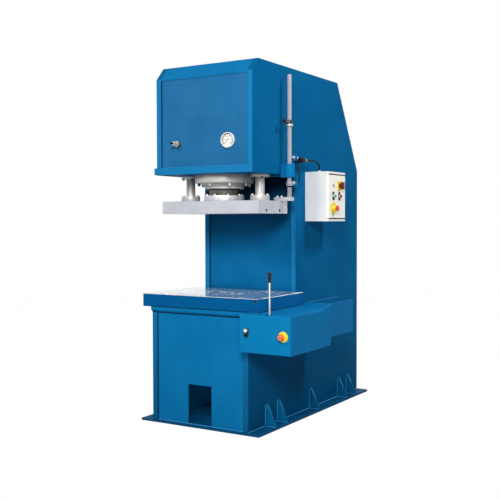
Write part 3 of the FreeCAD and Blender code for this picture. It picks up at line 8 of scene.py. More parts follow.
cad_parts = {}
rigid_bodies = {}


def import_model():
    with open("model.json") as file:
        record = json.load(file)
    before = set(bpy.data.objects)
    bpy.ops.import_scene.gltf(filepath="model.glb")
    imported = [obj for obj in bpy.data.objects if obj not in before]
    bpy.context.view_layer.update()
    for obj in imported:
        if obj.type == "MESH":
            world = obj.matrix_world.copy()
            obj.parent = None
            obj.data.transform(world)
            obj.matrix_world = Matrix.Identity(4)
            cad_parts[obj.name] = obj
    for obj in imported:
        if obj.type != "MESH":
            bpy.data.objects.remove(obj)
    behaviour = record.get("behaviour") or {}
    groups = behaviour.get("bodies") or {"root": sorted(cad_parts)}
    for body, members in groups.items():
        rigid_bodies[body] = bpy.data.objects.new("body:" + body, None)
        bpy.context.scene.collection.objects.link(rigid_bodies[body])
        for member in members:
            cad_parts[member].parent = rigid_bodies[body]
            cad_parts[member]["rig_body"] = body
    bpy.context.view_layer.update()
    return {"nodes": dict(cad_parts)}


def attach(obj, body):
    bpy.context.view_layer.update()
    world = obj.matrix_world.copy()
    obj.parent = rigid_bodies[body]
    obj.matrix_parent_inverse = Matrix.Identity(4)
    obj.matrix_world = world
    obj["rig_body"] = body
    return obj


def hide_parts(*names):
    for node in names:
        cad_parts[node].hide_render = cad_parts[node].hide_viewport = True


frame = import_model()
cadNodes = frame["nodes"]
scene = bpy.context.scene
print("frame loaded:", len(cadNodes), "nodes")

# the photograph's own angle: a 60 mm lens on a 36 mm frame, almost level
camera = {"place": (3.1474, -4.4802, 1.3604), "yaw": 31.546, "pitch": -1.997, "roll": -0.14, "lens": 60.32,
          "film": 36.0, "farthest": 60.0}


def newThing(name, data):
    thing = bpy.data.objects.new(name, data)
    scene.collection.objects.link(thing)
    return thing


def spun(degrees, axis):
    return Matrix.Rotation(math.radians(degrees), 4, axis)


def makeCamera(facts):
    data = bpy.data.cameras.new("pressCamera")
    data.lens = facts["lens"]
    data.sensor_width = facts["film"]
    data.clip_end = facts["farthest"]
    thing = newThing("pressCamera", data)
    turn = spun(facts["yaw"], "Z") @ spun(90.0 + facts["pitch"], "X") @ spun(facts["roll"], "Z")
    thing.matrix_world = Matrix.Translation(facts["place"]) @ turn
    scene.camera = thing


# five soft boxes, a small glow inside the hollow base, an even sky and a pale paper floor
warm = (1.0, 0.99, 0.97)
# name, place, aim, size, watts, tint
lamps = (
    ("key", (-0.4, -5.8, 4.8), (0.2, 0.5, 1.3), 1.7, 180.0, warm),
    ("near", (2.9, -4.4, 3.3), (0.2, 0.5, 1.3), 1.5, 250.0, warm),
    ("back", (-1.0, 6.5, 4.5), (0.0, 0.8, 1.5), 3.0, 160.0, (1.0,) * 3),
    ("side", (3.7, 1.2, 5.3), (0.4, 0.7, 2.1), 1.2, 160.0, (1.0, 0.99, 0.95)),
    ("left", (-4.8, 2.2, 3.4), (-0.4, 0.8, 1.3), 1.8, 110.0, (0.98, 0.99, 1.0)),
    ("inner", (0.3, 0.5, 0.42), (-0.35, 0.6, 0.2), 0.2, 0.9, (0.95, 1.0, 0.95)))
studio = {"skyTint": (0.95, 0.975, 1.0), "sky": 0.035, "floorShade": 0.5, "floorGlow": 0.995, "floorRadius": 14.0,
          "floorMiddle": 0.8, "floorSides": 96}
plainWhite = (1.0, 1.0, 1.0, 1.0)


def makeLamp(name, place, aim, size, watts, tint):
    data = bpy.data.lights.new(name, "AREA")
    data.shape = "SQUARE"
    data.size = size
    data.energy = watts
    data.color = tint
    lamp = newThing(name, data)
    lamp.visible_camera = False
    turn = (Vector(aim) - Vector(place)).to_track_quat("-Z", "Y")
    lamp.matrix_world = Matrix.Translation(place) @ turn.to_matrix().to_4x4()


def newNode(tree, kind, inputs=None, **settings):
    # the settings come first; then each input is set to its value or linked to its socket
    node = tree.nodes.new("ShaderNode" + kind)
    for key, value in settings.items():
        setattr(node, key, value)
    for label, value in (inputs or {}).items():
        if isinstance(value, bpy.types.NodeSocket):
            tree.links.new(value, node.inputs[label])
        else:
            node.inputs[label].default_value = value
    return node


def mathNode(tree, kind, *values):
    return newNode(tree, "Math", dict(enumerate(values)), operation=kind).outputs[0]


def mixShaders(tree, share, under, over):
    return newNode(tree, "MixShader", {0: share, 1: under.outputs[0], 2: over.outputs[0]}).outputs[0]


def seenRay(tree):
    # 1 for camera, glossy and transmission rays, 0 for the rest
    path = newNode(tree, "LightPath").outputs
    seen = mathNode(tree, "MAXIMUM", path["Is Camera Ray"], path["Is Glossy Ray"])
    return mathNode(tree, "MAXIMUM", seen, path["Is Transmission Ray"])


def emptyTree(holder):
    holder.use_nodes = True
    holder.node_tree.nodes.clear()
    return holder.node_tree


def makeWorld(facts):
    scene.world = bpy.data.worlds.new("studioSky")
    tree = emptyTree(scene.world)
    plain = newNode(tree, "Background", {"Color": facts["skyTint"] + (1.0,), "Strength": facts["sky"]})
    glow = newNode(tree, "Background", {"Color": plainWhite})
    newNode(tree, "OutputWorld", {0: mixShaders(tree, seenRay(tree), plain, glow)})


def makeFloor(facts):
    # a flat round sheet: x = r cos a, y = r sin a
    radius, count = facts["floorRadius"], facts["floorSides"]
    turn = np.linspace(0.0, 2.0 * math.pi, count + 1)[:-1]
    rim = np.stack([radius * np.cos(turn), radius * np.sin(turn) + facts["floorMiddle"], np.zeros(count)], 1)
    mesh = bpy.data.meshes.new("paperFloor")
    mesh.from_pydata(rim.tolist(), [], [list(range(count))])
    floor = newThing("paperFloor", mesh)
    paper = bpy.data.materials.new("paleFloorPaper")
    tree = emptyTree(paper)
    matte = newNode(tree, "BsdfDiffuse", {"Color": (facts["floorShade"],) * 3 + (1.0,)})
    glow = newNode(tree, "Emission", {"Color": plainWhite})
    share = mathNode(tree, "MULTIPLY", seenRay(tree), facts["floorGlow"])
    newNode(tree, "OutputMaterial", {0: mixShaders(tree, share, matte, glow)})
    mesh.materials.append(paper)


makeCamera(camera)
for name, *facts in lamps:
    makeLamp(name + "SoftBox", *facts)
makeWorld(studio)
makeFloor(studio)
scene.view_settings.view_transform = "Standard"
print("camera, light and floor made")


# node groups shared by the finishes; each puts out only what changes over the surface

def newGroup(name, **inputs):
    group = bpy.data.node_groups.new(name, "ShaderNodeTree")
    for label, value in inputs.items():
        kind = "NodeSocketVector" if isinstance(value, tuple) else "NodeSocketFloat"
        group.interface.new_socket(name=label, in_out="INPUT", socket_type=kind).default_value = value
    return group, group.nodes.new("NodeGroupInput").outputs


def closeGroup(group, **results):
    for label in results:
        group.interface.new_socket(name=label, in_out="OUTPUT", socket_type="NodeSocketFloat")
    leave = group.nodes.new("NodeGroupOutput")
    for label, value in results.items():
        group.links.new(value, leave.inputs[label])
    return group


def noiseNode(tree, vector, scale, detail=2.0, roughness=0.5):
    facts = {"Vector": vector, "Scale": scale, "Detail": detail, "Roughness": roughness}
    return newNode(tree, "TexNoise", facts).outputs["Fac"]


def rangeNode(tree, value, fromLow, fromHigh, toLow=0.0, toHigh=1.0):
    facts = {"Value": value, "From Min": fromLow, "From Max": fromHigh, "To Min": toLow, "To Max": toHigh}
    return newNode(tree, "MapRange", facts).outputs["Result"]


def objectPlace(tree):
    return newNode(tree, "TexCoord").outputs["Object"]


def trueNormal(tree):
    return newNode(tree, "NewGeometry").outputs["Normal"]


def splitAxes(tree, vector):
    return newNode(tree, "SeparateXYZ", {0: vector}).outputs


def makeSprayCoat():
    # orange peel of sprayed enamel: fine rounded cells on slow waves
    group, given = newGroup("sprayCoat", Grain=260.0)
    place = objectPlace(group)
    fine = noiseNode(group, place, given["Grain"], 1.0, 0.4)
    slow = noiseNode(group, place, 22.0)
    return closeGroup(group, Height=mathNode(group, "MULTIPLY_ADD", slow, 0.5, fine),
                      Drift=noiseNode(group, place, 2.6, 4.0, 0.6))


def makeEdgeWearAndHighlight():
    # edges are found where the rounded normal leaves the true one; noise breaks the line up; the mask lightens edges
    # both as worn paint and as a painted highlight
    group, given = newGroup("edgeWearAndHighlight", Breaks=60.0, Reach=0.5)
    bevel = newNode(group, "Bevel", {"Radius": 0.0025}, samples=4)
    both = {0: trueNormal(group), 1: bevel.outputs["Normal"]}
    dot = newNode(group, "VectorMath", both, operation="DOT_PRODUCT")
    away = mathNode(group, "SUBTRACT", 1.0, dot.outputs["Value"])
    breaks = noiseNode(group, objectPlace(group), given["Breaks"], 4.0, 0.65)
    patchy = rangeNode(group, breaks, given["Reach"], 0.72)
    return closeGroup(group, Mask=mathNode(group, "MULTIPLY", rangeNode(group, away, 0.015, 0.11), patchy))


def makeFloorDust():
    # dust lies on what faces up, more in the slow hollows of a noise
    group, given = newGroup("floorDust", Low=0.45)
    up = rangeNode(group, splitAxes(group, trueNormal(group))["Z"], 0.6, 1.0)
    spread = rangeNode(group, noiseNode(group, objectPlace(group), 14.0, 6.0, 0.7), given["Low"], 0.8)
    return closeGroup(group, Mask=mathNode(group, "MULTIPLY", up, spread))


def stretchedNoise(group, place, stretch, roughness):
    wide = newNode(group, "VectorMath", {0: place, 1: stretch}, operation="MULTIPLY").outputs[0]
    return noiseNode(group, wide, 1.0, 3.0, roughness)


def withTone(group, fine, broad):
    # the fine lines are the height; the tone is six parts of them to four of the broad noise
    tone = mathNode(group, "MULTIPLY_ADD", fine, 0.6, mathNode(group, "MULTIPLY", broad, 0.4))
    return closeGroup(group, Height=fine, Tone=tone)


def makeGrindLines():
    # long thin scratches: a noise stretched by the factors given for x, y and z
    group, given = newGroup("grindLines", Stretch=(6.0, 900.0, 900.0))
    place = objectPlace(group)
    lines = stretchedNoise(group, place, given["Stretch"], 0.6)
    return withTone(group, lines, noiseNode(group, place, 9.0, 3.0))


def makeScuffsAndReflections():
    # short bright rubs: a stretched noise past its threshold, let through in patches by a slower one; on the table top
    # they also stand in as painted pale reflections
    group, given = newGroup("scuffAndReflectionMarks", Stretch=(16.0, 60.0, 60.0), Cut=0.6)
    place = objectPlace(group)
    rubs = stretchedNoise(group, place, given["Stretch"], 0.65)
    patches = rangeNode(group, noiseNode(group, place, 5.0), 0.42, 0.6)
    past = rangeNode(group, rubs, given["Cut"], mathNode(group, "ADD", given["Cut"], 0.05))
    return closeGroup(group, Mask=mathNode(group, "MULTIPLY", past, patches))


def makeTurnRings():
    # a lathe's feed marks: a noise of radius and height about the z axis of the vector given
    group, given = newGroup("turnRings", Place=(0.0, 0.0, 0.0), Feed=1500.0)
    parts = splitAxes(group, given["Place"])
    ySquare = mathNode(group, "MULTIPLY", parts["Y"], parts["Y"])
    radius = mathNode(group, "SQRT", mathNode(group, "MULTIPLY_ADD", parts["X"], parts["X"], ySquare))
    pair = newNode(group, "CombineXYZ", {0: radius, 1: parts["Z"]}).outputs[0]
    rings = noiseNode(group, pair, given["Feed"], 3.0, 0.6)
    return withTone(group, rings, noiseNode(group, given["Place"], 30.0, 3.0))


groups = {"spray": makeSprayCoat(), "wearAndHighlight": makeEdgeWearAndHighlight(), "dust": makeFloorDust(), "grind": makeGrindLines(),
          "rings": makeTurnRings(), "scuffsAndReflections": makeScuffsAndReflections()}


def useGroup(tree, key, **values):
    return newNode(tree, "Group", values, node_tree=groups[key]).outputs


def newFinish(name):
    material = bpy.data.materials.new(name)
    tree = emptyTree(material)
    shader = newNode(tree, "BsdfPrincipled")
    newNode(tree, "OutputMaterial", {"Surface": shader.outputs[0]})
    return material, tree, shader


def overTone(tree, factor, under, over):
    # a colour laid over another by the mask; the lower one is a colour or a changing one
    under = under + (1.0,) if isinstance(under, tuple) else under
    mixed = {0: factor, 6: under, 7: over + (1.0,)}
    return newNode(tree, "Mix", mixed, data_type="RGBA").outputs[2]


def finishWith(tree, shader, colour, rough, height, depth):
    bump = newNode(tree, "Bump", {"Strength": 1.0, "Distance": depth, "Height": height})
    for label, value in (("Base Color", colour), ("Roughness", rough), ("Normal", bump.outputs[0])):
        tree.links.new(value, shader.inputs[label])


# the dark tone laid on as painted shade
paintedShadeTone = (0.0, 0.018, 0.04)
dustTone = (0.62, 0.6, 0.56)


def enamel(name, low, high, wornAndLitEdge=(0.02, 0.27, 0.55), wearAndHighlight=0.75, wearFrom=0.3, breaks=45.0, dust=0.012, grain=300.0,
           rough=0.5, specular=0.03, depth=0.00035, edge=None, frontShadingFrom=(-2.0, -1.0), slopeHighlight=None, shadeBand=None):
    # the edge colour is painted light on what faces the front between two heights, painted shade where it is darker
    # than the coat, as on the table; the slope colour is a painted highlight on what leans upwards; the last pair of
    # heights bounds a band of painted shade
    material, tree, shader = newFinish(name)
    coat = useGroup(tree, "spray", Grain=grain)
    litEdgeAndWearMask = useGroup(tree, "wearAndHighlight", Breaks=breaks, Reach=wearFrom)["Mask"]
    dustMask = useGroup(tree, "dust", Low=0.5)["Mask"]
    colour = overTone(tree, rangeNode(tree, coat["Drift"], 0.35, 0.65), low, high)
    # painted light and shade: front-facing faces take the edge colour to match how the light falls on them
    if edge:
        parts = splitAxes(tree, trueNormal(tree))
        frontShadingMask = rangeNode(tree, parts["Y"], -0.8, -0.97)
        height = splitAxes(tree, objectPlace(tree))["Z"]
        frontShadingMask = mathNode(tree, "MULTIPLY", frontShadingMask, rangeNode(tree, height, *frontShadingFrom))
        colour = overTone(tree, frontShadingMask, colour, edge)
        # painted highlight: faces that lean upwards are lightened where the light catches them
        if slopeHighlight:
            slopeHighlightMask = mathNode(tree, "MULTIPLY", rangeNode(tree, parts["Z"], 0.3, 0.4),
                               rangeNode(tree, parts["Z"], 0.6, 0.5))
            colour = overTone(tree, slopeHighlightMask, colour, slopeHighlight)
    # painted shade: the coat darkens between the two heights, where less light reaches
    if shadeBand:
        height = splitAxes(tree, objectPlace(tree))["Z"]
        colour = overTone(tree, rangeNode(tree, height, *shadeBand), colour, paintedShadeTone)
    colour = overTone(tree, mathNode(tree, "MULTIPLY", dustMask, dust), colour, dustTone)
    # edges lighter both as worn paint and as a painted highlight
    colour = overTone(tree, mathNode(tree, "MULTIPLY", litEdgeAndWearMask, wearAndHighlight), colour, wornAndLitEdge)
    roughness = rangeNode(tree, coat["Drift"], 0.3, 0.7, rough - 0.04, rough + 0.05)
    shader.inputs["Specular IOR Level"].default_value = specular
    finishWith(tree, shader, colour, mathNode(tree, "MULTIPLY_ADD", dustMask, 0.25, roughness), coat["Height"], depth)
    return material


def steel(name, low, high, metal, rough, depth, stretch=None, feed=None, centre=(0.0, 0.315, 0.0),
          turn=(0.0, 0.0, 0.0), wornAndLitEdge=None, scuffAndReflection=None):
    # straight grinding lines, or feed rings round the axis that the mapping brings to z
    material, tree, shader = newFinish(name)
    if feed:
        facts = {"Location": centre, "Rotation": turn, "Vector": objectPlace(tree)}
        place = newNode(tree, "Mapping", facts, vector_type="TEXTURE").outputs[0]
        lines = useGroup(tree, "rings", Place=place, Feed=feed)
    else:
        lines = useGroup(tree, "grind", Stretch=stretch)
    colour = overTone(tree, rangeNode(tree, lines["Tone"], 0.35, 0.65), low, high)
    if wornAndLitEdge:
        colour = overTone(tree, useGroup(tree, "wearAndHighlight", Breaks=40.0, Reach=0.3)["Mask"], colour, wornAndLitEdge)
    roughness = rangeNode(tree, lines["Tone"], 0.3, 0.7, rough - 0.05, rough + 0.08)
    if scuffAndReflection:
        rubs = useGroup(tree, "scuffsAndReflections", Stretch=(34.0, 9.0, 9.0), Cut=0.56)["Mask"]
        colour = overTone(tree, rubs, colour, scuffAndReflection)
        roughness = mathNode(tree, "MULTIPLY_ADD", rubs, 0.4, roughness)
    shader.inputs["Metallic"].default_value = metal
    finishWith(tree, shader, colour, roughness, lines["Height"], depth)
    return material


def moulded(name, low, high, rough, depth, grain=800.0, specular=0.5):
    # plastic and rubber: a fine eroded grain from the mould, and a slow drift in gloss
    material, tree, shader = newFinish(name)
    coat = useGroup(tree, "spray", Grain=grain)
    colour = overTone(tree, rangeNode(tree, coat["Drift"], 0.3, 0.7), low, high)
    roughness = rangeNode(tree, coat["Drift"], 0.3, 0.7, rough - 0.05, rough + 0.06)
    shader.inputs["Specular IOR Level"].default_value = specular
    finishWith(tree, shader, colour, roughness, coat["Height"], depth)
    return material


def clearGlass(name):
    # thin cover glass: mostly see-through, with a reflection that grows at the rim and faint smears
    material, tree, shader = newFinish(name)
    coat = useGroup(tree, "spray", Grain=160.0)
    shader.inputs["Base Color"].default_value = plainWhite
    tree.links.new(rangeNode(tree, coat["Drift"], 0.4, 0.7, 0.02, 0.09), shader.inputs["Roughness"])
    edge = newNode(tree, "LayerWeight", {"Blend": 0.2})
    share = mathNode(tree, "MULTIPLY_ADD", edge.outputs["Fresnel"], 0.5, 0.04)
    mixed = mixShaders(tree, share, newNode(tree, "BsdfTransparent"), shader)
    tree.links.new(mixed, tree.nodes["Material Output"].inputs["Surface"])
    return material


# enamels: name, low and high tone, then what differs from the press's own blue coat
greyCoat = dict(wearFrom=0.35, breaks=60.0, grain=420.0, rough=0.36, specular=0.5, depth=0.0002)
finishes = {
    "bluePaint": enamel("bluePressEnamel", (0.002, 0.145, 0.355), (0.004, 0.171, 0.408)),
    # console: front faces painted lighter as painted light
    "consolePaint": enamel("blueConsoleEnamel", (0.001, 0.135, 0.345), (0.003, 0.155, 0.385),
                           edge=(0.003, 0.18, 0.41), specular=0.025),
    # side and mount plates: front faces painted lighter, less so lower down, as painted light; below 0.8 m the blue is
    # painted darker towards the foot as painted shade
    "platePaint": enamel("bluePlatePaintedLightAndShade", (0.001, 0.104, 0.272), (0.003, 0.124, 0.312), edge=(0.01, 0.18, 0.41),
                         frontShadingFrom=(-1.0, 1.75), shadeBand=(0.8, -1.4), specular=0.008),
    # base plate and gussets: a darker copy of the blue as painted shade; front faces and upward-leaning gusset edges
    # painted lighter as painted highlight
    "basePaint": enamel("shadedBlueBasePlate", (0.001, 0.055, 0.145), (0.002, 0.072, 0.18), wornAndLitEdge=(0.04, 0.3, 0.6),
                        wearAndHighlight=0.95, edge=(0.001, 0.12, 0.28), frontShadingFrom=(0.014, 0.03), slopeHighlight=(0.03, 0.27, 0.56),
                        specular=0.02),
    # table sides: the front face is painted darker as painted shade
    "tableBlue": enamel("blueTableEnamel", (0.001, 0.12, 0.33), (0.003, 0.14, 0.37), edge=(0.001, 0.095, 0.27),
                        specular=0.02),
    # throat: a darker copy of the blue as painted shade, darker still towards the head above as painted shade
    "throatPaint": enamel("shadedThroatBlue", (0.002, 0.105, 0.265), (0.004, 0.125, 0.305), shadeBand=(1.25, 1.6),
                          specular=0.02),
    # head panel: a greyer blue, a painted sheen standing in for the panel's gloss under the light
    "panelPaint": enamel("greyedBlueHeadPanelSheen", (0.014, 0.126, 0.295), (0.02, 0.15, 0.345), grain=190.0,
                         depth=0.0005),
    # weld beads: a lighter blue as painted highlight on the beads
    "beadHighlightPaint": enamel("lightBlueWeldHighlight", (0.03, 0.22, 0.5), (0.05, 0.27, 0.58), grain=420.0),
    "boxPaint": enamel("lightGreyEnamel", (0.79, 0.815, 0.805), (0.85, 0.865, 0.855), wornAndLitEdge=(0.93, 0.93, 0.91),
                       wearAndHighlight=0.4, dust=0.08, **greyCoat),
    # the door is the box's light grey enamel made lighter as painted light on its lit face
    "doorPaint": enamel("litGreyDoorEnamel", (0.88, 0.885, 0.85), (0.93, 0.935, 0.9), wornAndLitEdge=(0.95, 0.95, 0.93),
                        wearAndHighlight=0.3, dust=0.04, **greyCoat),
}
# steels: key, name, low and high tone, metallic share, roughness, depth of the lines, stretch of the grinding
for key, *facts in (
        ("columnSteel", "groundGuideSteel", (0.38, 0.375, 0.375), (0.46, 0.455, 0.455), 0.3, 0.42, 1e-5,
         (300.0, 300.0, 1400.0)),
        ("zinc", "zincPlatedSteel", (0.5,) * 3, (0.66, 0.66, 0.65), 0.55, 0.4, 2e-5, (500.0,) * 3),
        ("blackSteel", "blackenedSteel", (0.02, 0.02, 0.022), (0.045, 0.045, 0.05), 0.6, 0.4, 3e-5, (400.0,) * 3),
        ("nickel", "nickelPlatedBrass", (0.38, 0.36, 0.35), (0.5, 0.475, 0.46), 0.6, 0.38, 2e-5, (600.0,) * 3),
        ("brass", "dullBrass", (0.5, 0.44, 0.26), (0.66, 0.58, 0.36), 0.8, 0.36, 2e-5, (600.0,) * 3),
        ("rodSteel", "groundRodSteel", (0.26, 0.255, 0.3), (0.34, 0.335, 0.38), 0.1, 0.62, 2e-5,
         (400.0, 400.0, 1500.0)),
        ("bronzeGrey", "dullBronzeBody", (0.045, 0.06, 0.06), (0.08, 0.1, 0.1), 0.5, 0.42, 4e-5, (500.0,) * 3),
        ("leverChrome", "chromedLeverSteel", (0.34, 0.35, 0.37), (0.44, 0.45, 0.47), 0.7, 0.3, 6e-6,
         (500.0, 500.0, 60.0))):
    finishes[key] = steel(*facts)
# its pale edge colour is a painted highlight along the plate's chamfers, laid on through the edge mask
finishes["ramSteel"] = steel("groundRamSteel", (0.45, 0.46, 0.52), (0.56, 0.57, 0.63), 0.48, 0.42, 6e-5,
                             (9.0, 700.0, 900.0), wornAndLitEdge=(0.8, 0.8, 0.84))
# its pale rubs are partly scuffs and partly painted pale reflections
finishes["tableSteel"] = steel("groundTableTop", (0.6, 0.63, 0.65), (0.78, 0.81, 0.84), 0.82, 0.17, 2e-5,
                               (900.0, 7.0, 300.0), scuffAndReflection=(0.92, 0.91, 0.88))
# turned on the ram's axis: key, name, tones, metallic share, roughness, depth, feed lines per metre
for key, *facts, feed in (
        # the piston rod is painted dark as the shade and dark reflection in the gap under the gland
        ("pistonSteel", "oiledPistonSteel", (0.09, 0.1, 0.08), (0.16, 0.17, 0.14), 0.6, 0.3, 1.2e-5, 2200.0),
        ("flangeSteel", "turnedFlangeSteel", (0.4, 0.39, 0.37), (0.5, 0.485, 0.46), 0.35, 0.42, 6e-5, 1100.0),
        ("glandSteel", "turnedGlandSteel", (0.42, 0.42, 0.41), (0.54, 0.54, 0.53), 0.4, 0.42, 5e-5, 1400.0),
        ("ramRingSteel", "turnedRamRing", (0.5, 0.5, 0.54), (0.64, 0.64, 0.68), 0.5, 0.4, 5e-5, 1400.0)):
    finishes[key] = steel(*facts, feed=feed)
finishes["gaugeRim"] = steel("brightGaugeCase", (0.72, 0.73, 0.74), (0.82, 0.83, 0.83), 0.2, 0.4, 2e-5,
                             feed=1600.0, centre=(0.196, 0.068, 1.881), turn=(math.pi / 2, 0.0, 0.0))
# plastics: key, name, tones, roughness, depth of the grain, grains per metre, specular level
for key, *facts in (
        ("blackPlastic", "blackMouldedPlastic", (0.006, 0.008, 0.011), (0.011, 0.014, 0.018), 0.42, 1e-4, 900.0, 0.15),
        ("cableRubber", "blackCableRubber", (0.004, 0.004, 0.005), (0.01, 0.01, 0.01), 0.6, 1.5e-4, 700.0, 0.08),
        ("yellow", "signalYellowPlastic", (0.83, 0.6, 0.012), (0.9, 0.67, 0.02), 0.34, 5e-5),
        ("red", "signalRedPlastic", (0.6, 0.03, 0.015), (0.7, 0.05, 0.02), 0.28, 4e-5),
        ("white", "whitePlastic", (0.78, 0.78, 0.76), (0.84, 0.84, 0.82), 0.35, 4e-5),
        ("teal", "tealButtonPlastic", (0.01, 0.3, 0.26), (0.02, 0.38, 0.33), 0.25, 4e-5),
        ("darkRed", "darkRedButtonPlastic", (0.22, 0.01, 0.012), (0.28, 0.013, 0.015), 0.25, 4e-5),
        ("switchRed", "brownRedSwitchPlastic", (0.1, 0.008, 0.008), (0.14, 0.011, 0.01), 0.32, 4e-5, 800.0, 0.3),
        ("greyPlastic", "greyPinkSensorCap", (0.42, 0.33, 0.32), (0.5, 0.4, 0.38), 0.4, 5e-5),
        ("sensorYellow", "yellowSensorFace", (0.55, 0.62, 0.06), (0.62, 0.68, 0.09), 0.4, 3e-5, 900.0, 0.2),
        ("dialWhite", "whiteDialEnamel", (0.74, 0.73, 0.68), (0.8, 0.79, 0.74), 0.5, 2e-5, 900.0),
        # black ink for print, also laid in and round holes as painted shade
        ("inkBlack", "blackPrintedInk", (0.015, 0.015, 0.016), (0.035, 0.035, 0.036), 0.5, 2e-5, 900.0),
        # a dark strip laid where there is shade, as painted shade
        ("seamDark", "darkJointFiller", (0.0, 0.018, 0.045), (0.002, 0.028, 0.065), 0.6, 1e-4, 500.0, 0.05),
        ("orangeRed", "orangeRedPlastic", (0.75, 0.07, 0.015), (0.82, 0.1, 0.02), 0.3, 4e-5),
        ("castGrey", "greyHammerCoat", (0.12, 0.13, 0.14), (0.2, 0.21, 0.22), 0.45, 5e-4, 240.0)):
    finishes[key] = moulded(*facts)
finishes["clearGlass"] = clearGlass("clearGaugeGlass")
print("finishes made:", len(finishes))


# shapes: each is (points, faces) worked out as whole arrays

up = (0.0, 0.0, 1.0)
down = (0.0, 0.0, -1.0)
right = (1.0, 0.0, 0.0)
left = (-1.0, 0.0, 0.0)
front = (0.0, -1.0, 0.0)
back = (0.0, 1.0, 0.0)


def gridFaces(rows, columns):
    # the quads between neighbouring rows, whose columns close on themselves
    i, j = np.meshgrid(np.arange(rows - 1), np.arange(columns), indexing="ij")
    k = (j + 1) % columns
    corners = [i * columns + j, i * columns + k, (i + 1) * columns + k, (i + 1) * columns + j]
    return np.stack(corners, -1).reshape(-1, 4).tolist()


def eased(profile, size):
    # each inner corner becomes three points of the arc that touches both of its runs
    p = np.asarray(profile, float)
    before = p[:-2] - p[1:-1]
    after = p[2:] - p[1:-1]
    lengthBefore = np.linalg.norm(before, axis=1, keepdims=True)
    lengthAfter = np.linalg.norm(after, axis=1, keepdims=True)
    step = np.minimum(size, 0.4 * np.minimum(lengthBefore, lengthAfter))
    first = p[1:-1] + before / lengthBefore * step
    last = p[1:-1] + after / lengthAfter * step
    middle = p[1:-1] * 0.414 + (first + last) * 0.293
    return np.concatenate([p[:1], np.stack([first, middle, last], 1).reshape(-1, 2), p[-1:]])


def around(steps):
    return np.linspace(0.0, 2.0 * math.pi, steps, endpoint=False)


def swept(r, h, a):
    # x = r cos a, y = r sin a, z = h for whole arrays of r and h, with a round the full turn
    points = np.stack([r * np.cos(a), r * np.sin(a), h + 0.0 * a], -1)
    return points.reshape(-1, 3), gridFaces(len(r), len(a))


def turned(profile, steps):
    p = np.asarray(profile, float)
    return swept(p[:, :1], p[:, 1:], around(steps))


def fluted(profile, lobes, depth, steps):
    # r = R (1 - depth * w * (0.5 + 0.5 cos(lobes a))^2); the profile's third value w says how deep the flutes are
    p = np.asarray(profile, float)
    a = around(steps)
    dip = (0.5 + 0.5 * np.cos(lobes * a)) ** 2
    return swept(p[:, :1] * (1.0 - depth * p[:, 2:3] * dip), p[:, 1:2], a)


def hexRadius(flats, a):
    # distance from the middle of a hexagon to its edge in the direction a
    return flats / 2.0 / np.cos(np.mod(a + math.pi / 6, math.pi / 3) - math.pi / 6)


def fromRows(radii, heights, a):
    # one row of points for each pair of radius and height, both given for every a
    return swept(np.stack([x + 0.0 * a for x in radii]), np.stack([x + 0.0 * a for x in heights]), a)


def hexNut(flats, height, bore):
    # a hexagon whose corners are cut by a cone of 30 degrees at both ends
    a = around(48)
    outer = hexRadius(flats, a)
    inner = flats * 0.475
    fall = np.maximum(outer - inner, 0.0) * 0.58
    return fromRows([bore, inner, outer, outer, inner, bore, bore],
                    [0.0, 0.0, fall, height - fall, height, height, 0.0], a)


def socketScrew(radius, height, steps=48):
    # a knurled cylinder head with a hexagon socket; the knurls are a cosine on the radius
    a = around(steps)
    knurl = radius * (1.0 - 0.012 * (1.0 + np.cos(a * steps / 2)))
    socket = np.minimum(hexRadius(radius * 1.05, a), radius * 0.62)
    radii = [0.0, radius, knurl, knurl, radius * 0.97, radius * 0.86, radius * 0.63, socket, socket, 0.0]
    return fromRows(radii, [height * share for share in (0.0, 0.0, 0.08, 0.8, 0.92, 1.0, 1.0, 0.97, 0.45, 0.36)], a)


def hexScrew(flats, height):
    # a round washer face under a hexagon head with a 30 degree top
    a = around(48)
    outer = hexRadius(flats, a)
    inner = flats * 0.47
    fall = np.maximum(outer - inner, 0.0) * 0.58
    return fromRows([0.0, flats * 0.49, flats * 0.49, outer, outer, inner, 0.0],
                    [0.0, 0.0, height * 0.06, height * 0.06, height - fall, height, height], a)


def threaded(radius, depth, pitch, length, rowsPerTurn=4, steps=32, lining=False):
    # r = radius - depth * (1 - |2 f - 1|), f being what z / pitch - a / 2 pi has over a whole number;
    # a lining stays open at its start
    a = around(steps)
    z = np.linspace(0.0, length, max(int(length / pitch * rowsPerTurn), 4) + 1 + lining)[:, None]
    phase = np.mod(z / pitch - a / (2.0 * math.pi), 1.0)
    r = radius - depth * (1.0 - np.abs(2.0 * phase - 1.0))
    point = np.zeros((1, steps))
    first = 1 if lining else 0
    return swept(np.concatenate([point, r, point][first:]), np.concatenate([z[:1], z, z[-1:]][first:]), a)


def capped(points, faces, columns):
    # closes both ends of a tube of rings with one face each
    rings = len(points) // columns
    return points, faces + [list(range(columns))[::-1], list(range((rings - 1) * columns, rings * columns))]


def slab(outline, low, high, edge):
    # the outline is stacked at four heights, drawn in by the edge at both ends
    p = np.asarray(outline, float)
    along = np.roll(p, -1, axis=0) - p
    along /= np.linalg.norm(along, axis=1, keepdims=True)
    inward = np.stack([-along[:, 1], along[:, 0]], 1)
    corner = inward + np.roll(inward, 1, axis=0)
    corner /= 1.0 + (inward * np.roll(inward, 1, axis=0)).sum(1, keepdims=True)
    drawn = p + corner * edge
    rings = [(drawn, low), (p, low + edge), (p, high - edge), (drawn, high)]
    points = np.concatenate([np.column_stack([ring, np.full(len(p), h)]) for ring, h in rings])
    return capped(points, gridFaces(4, len(p)), len(p))


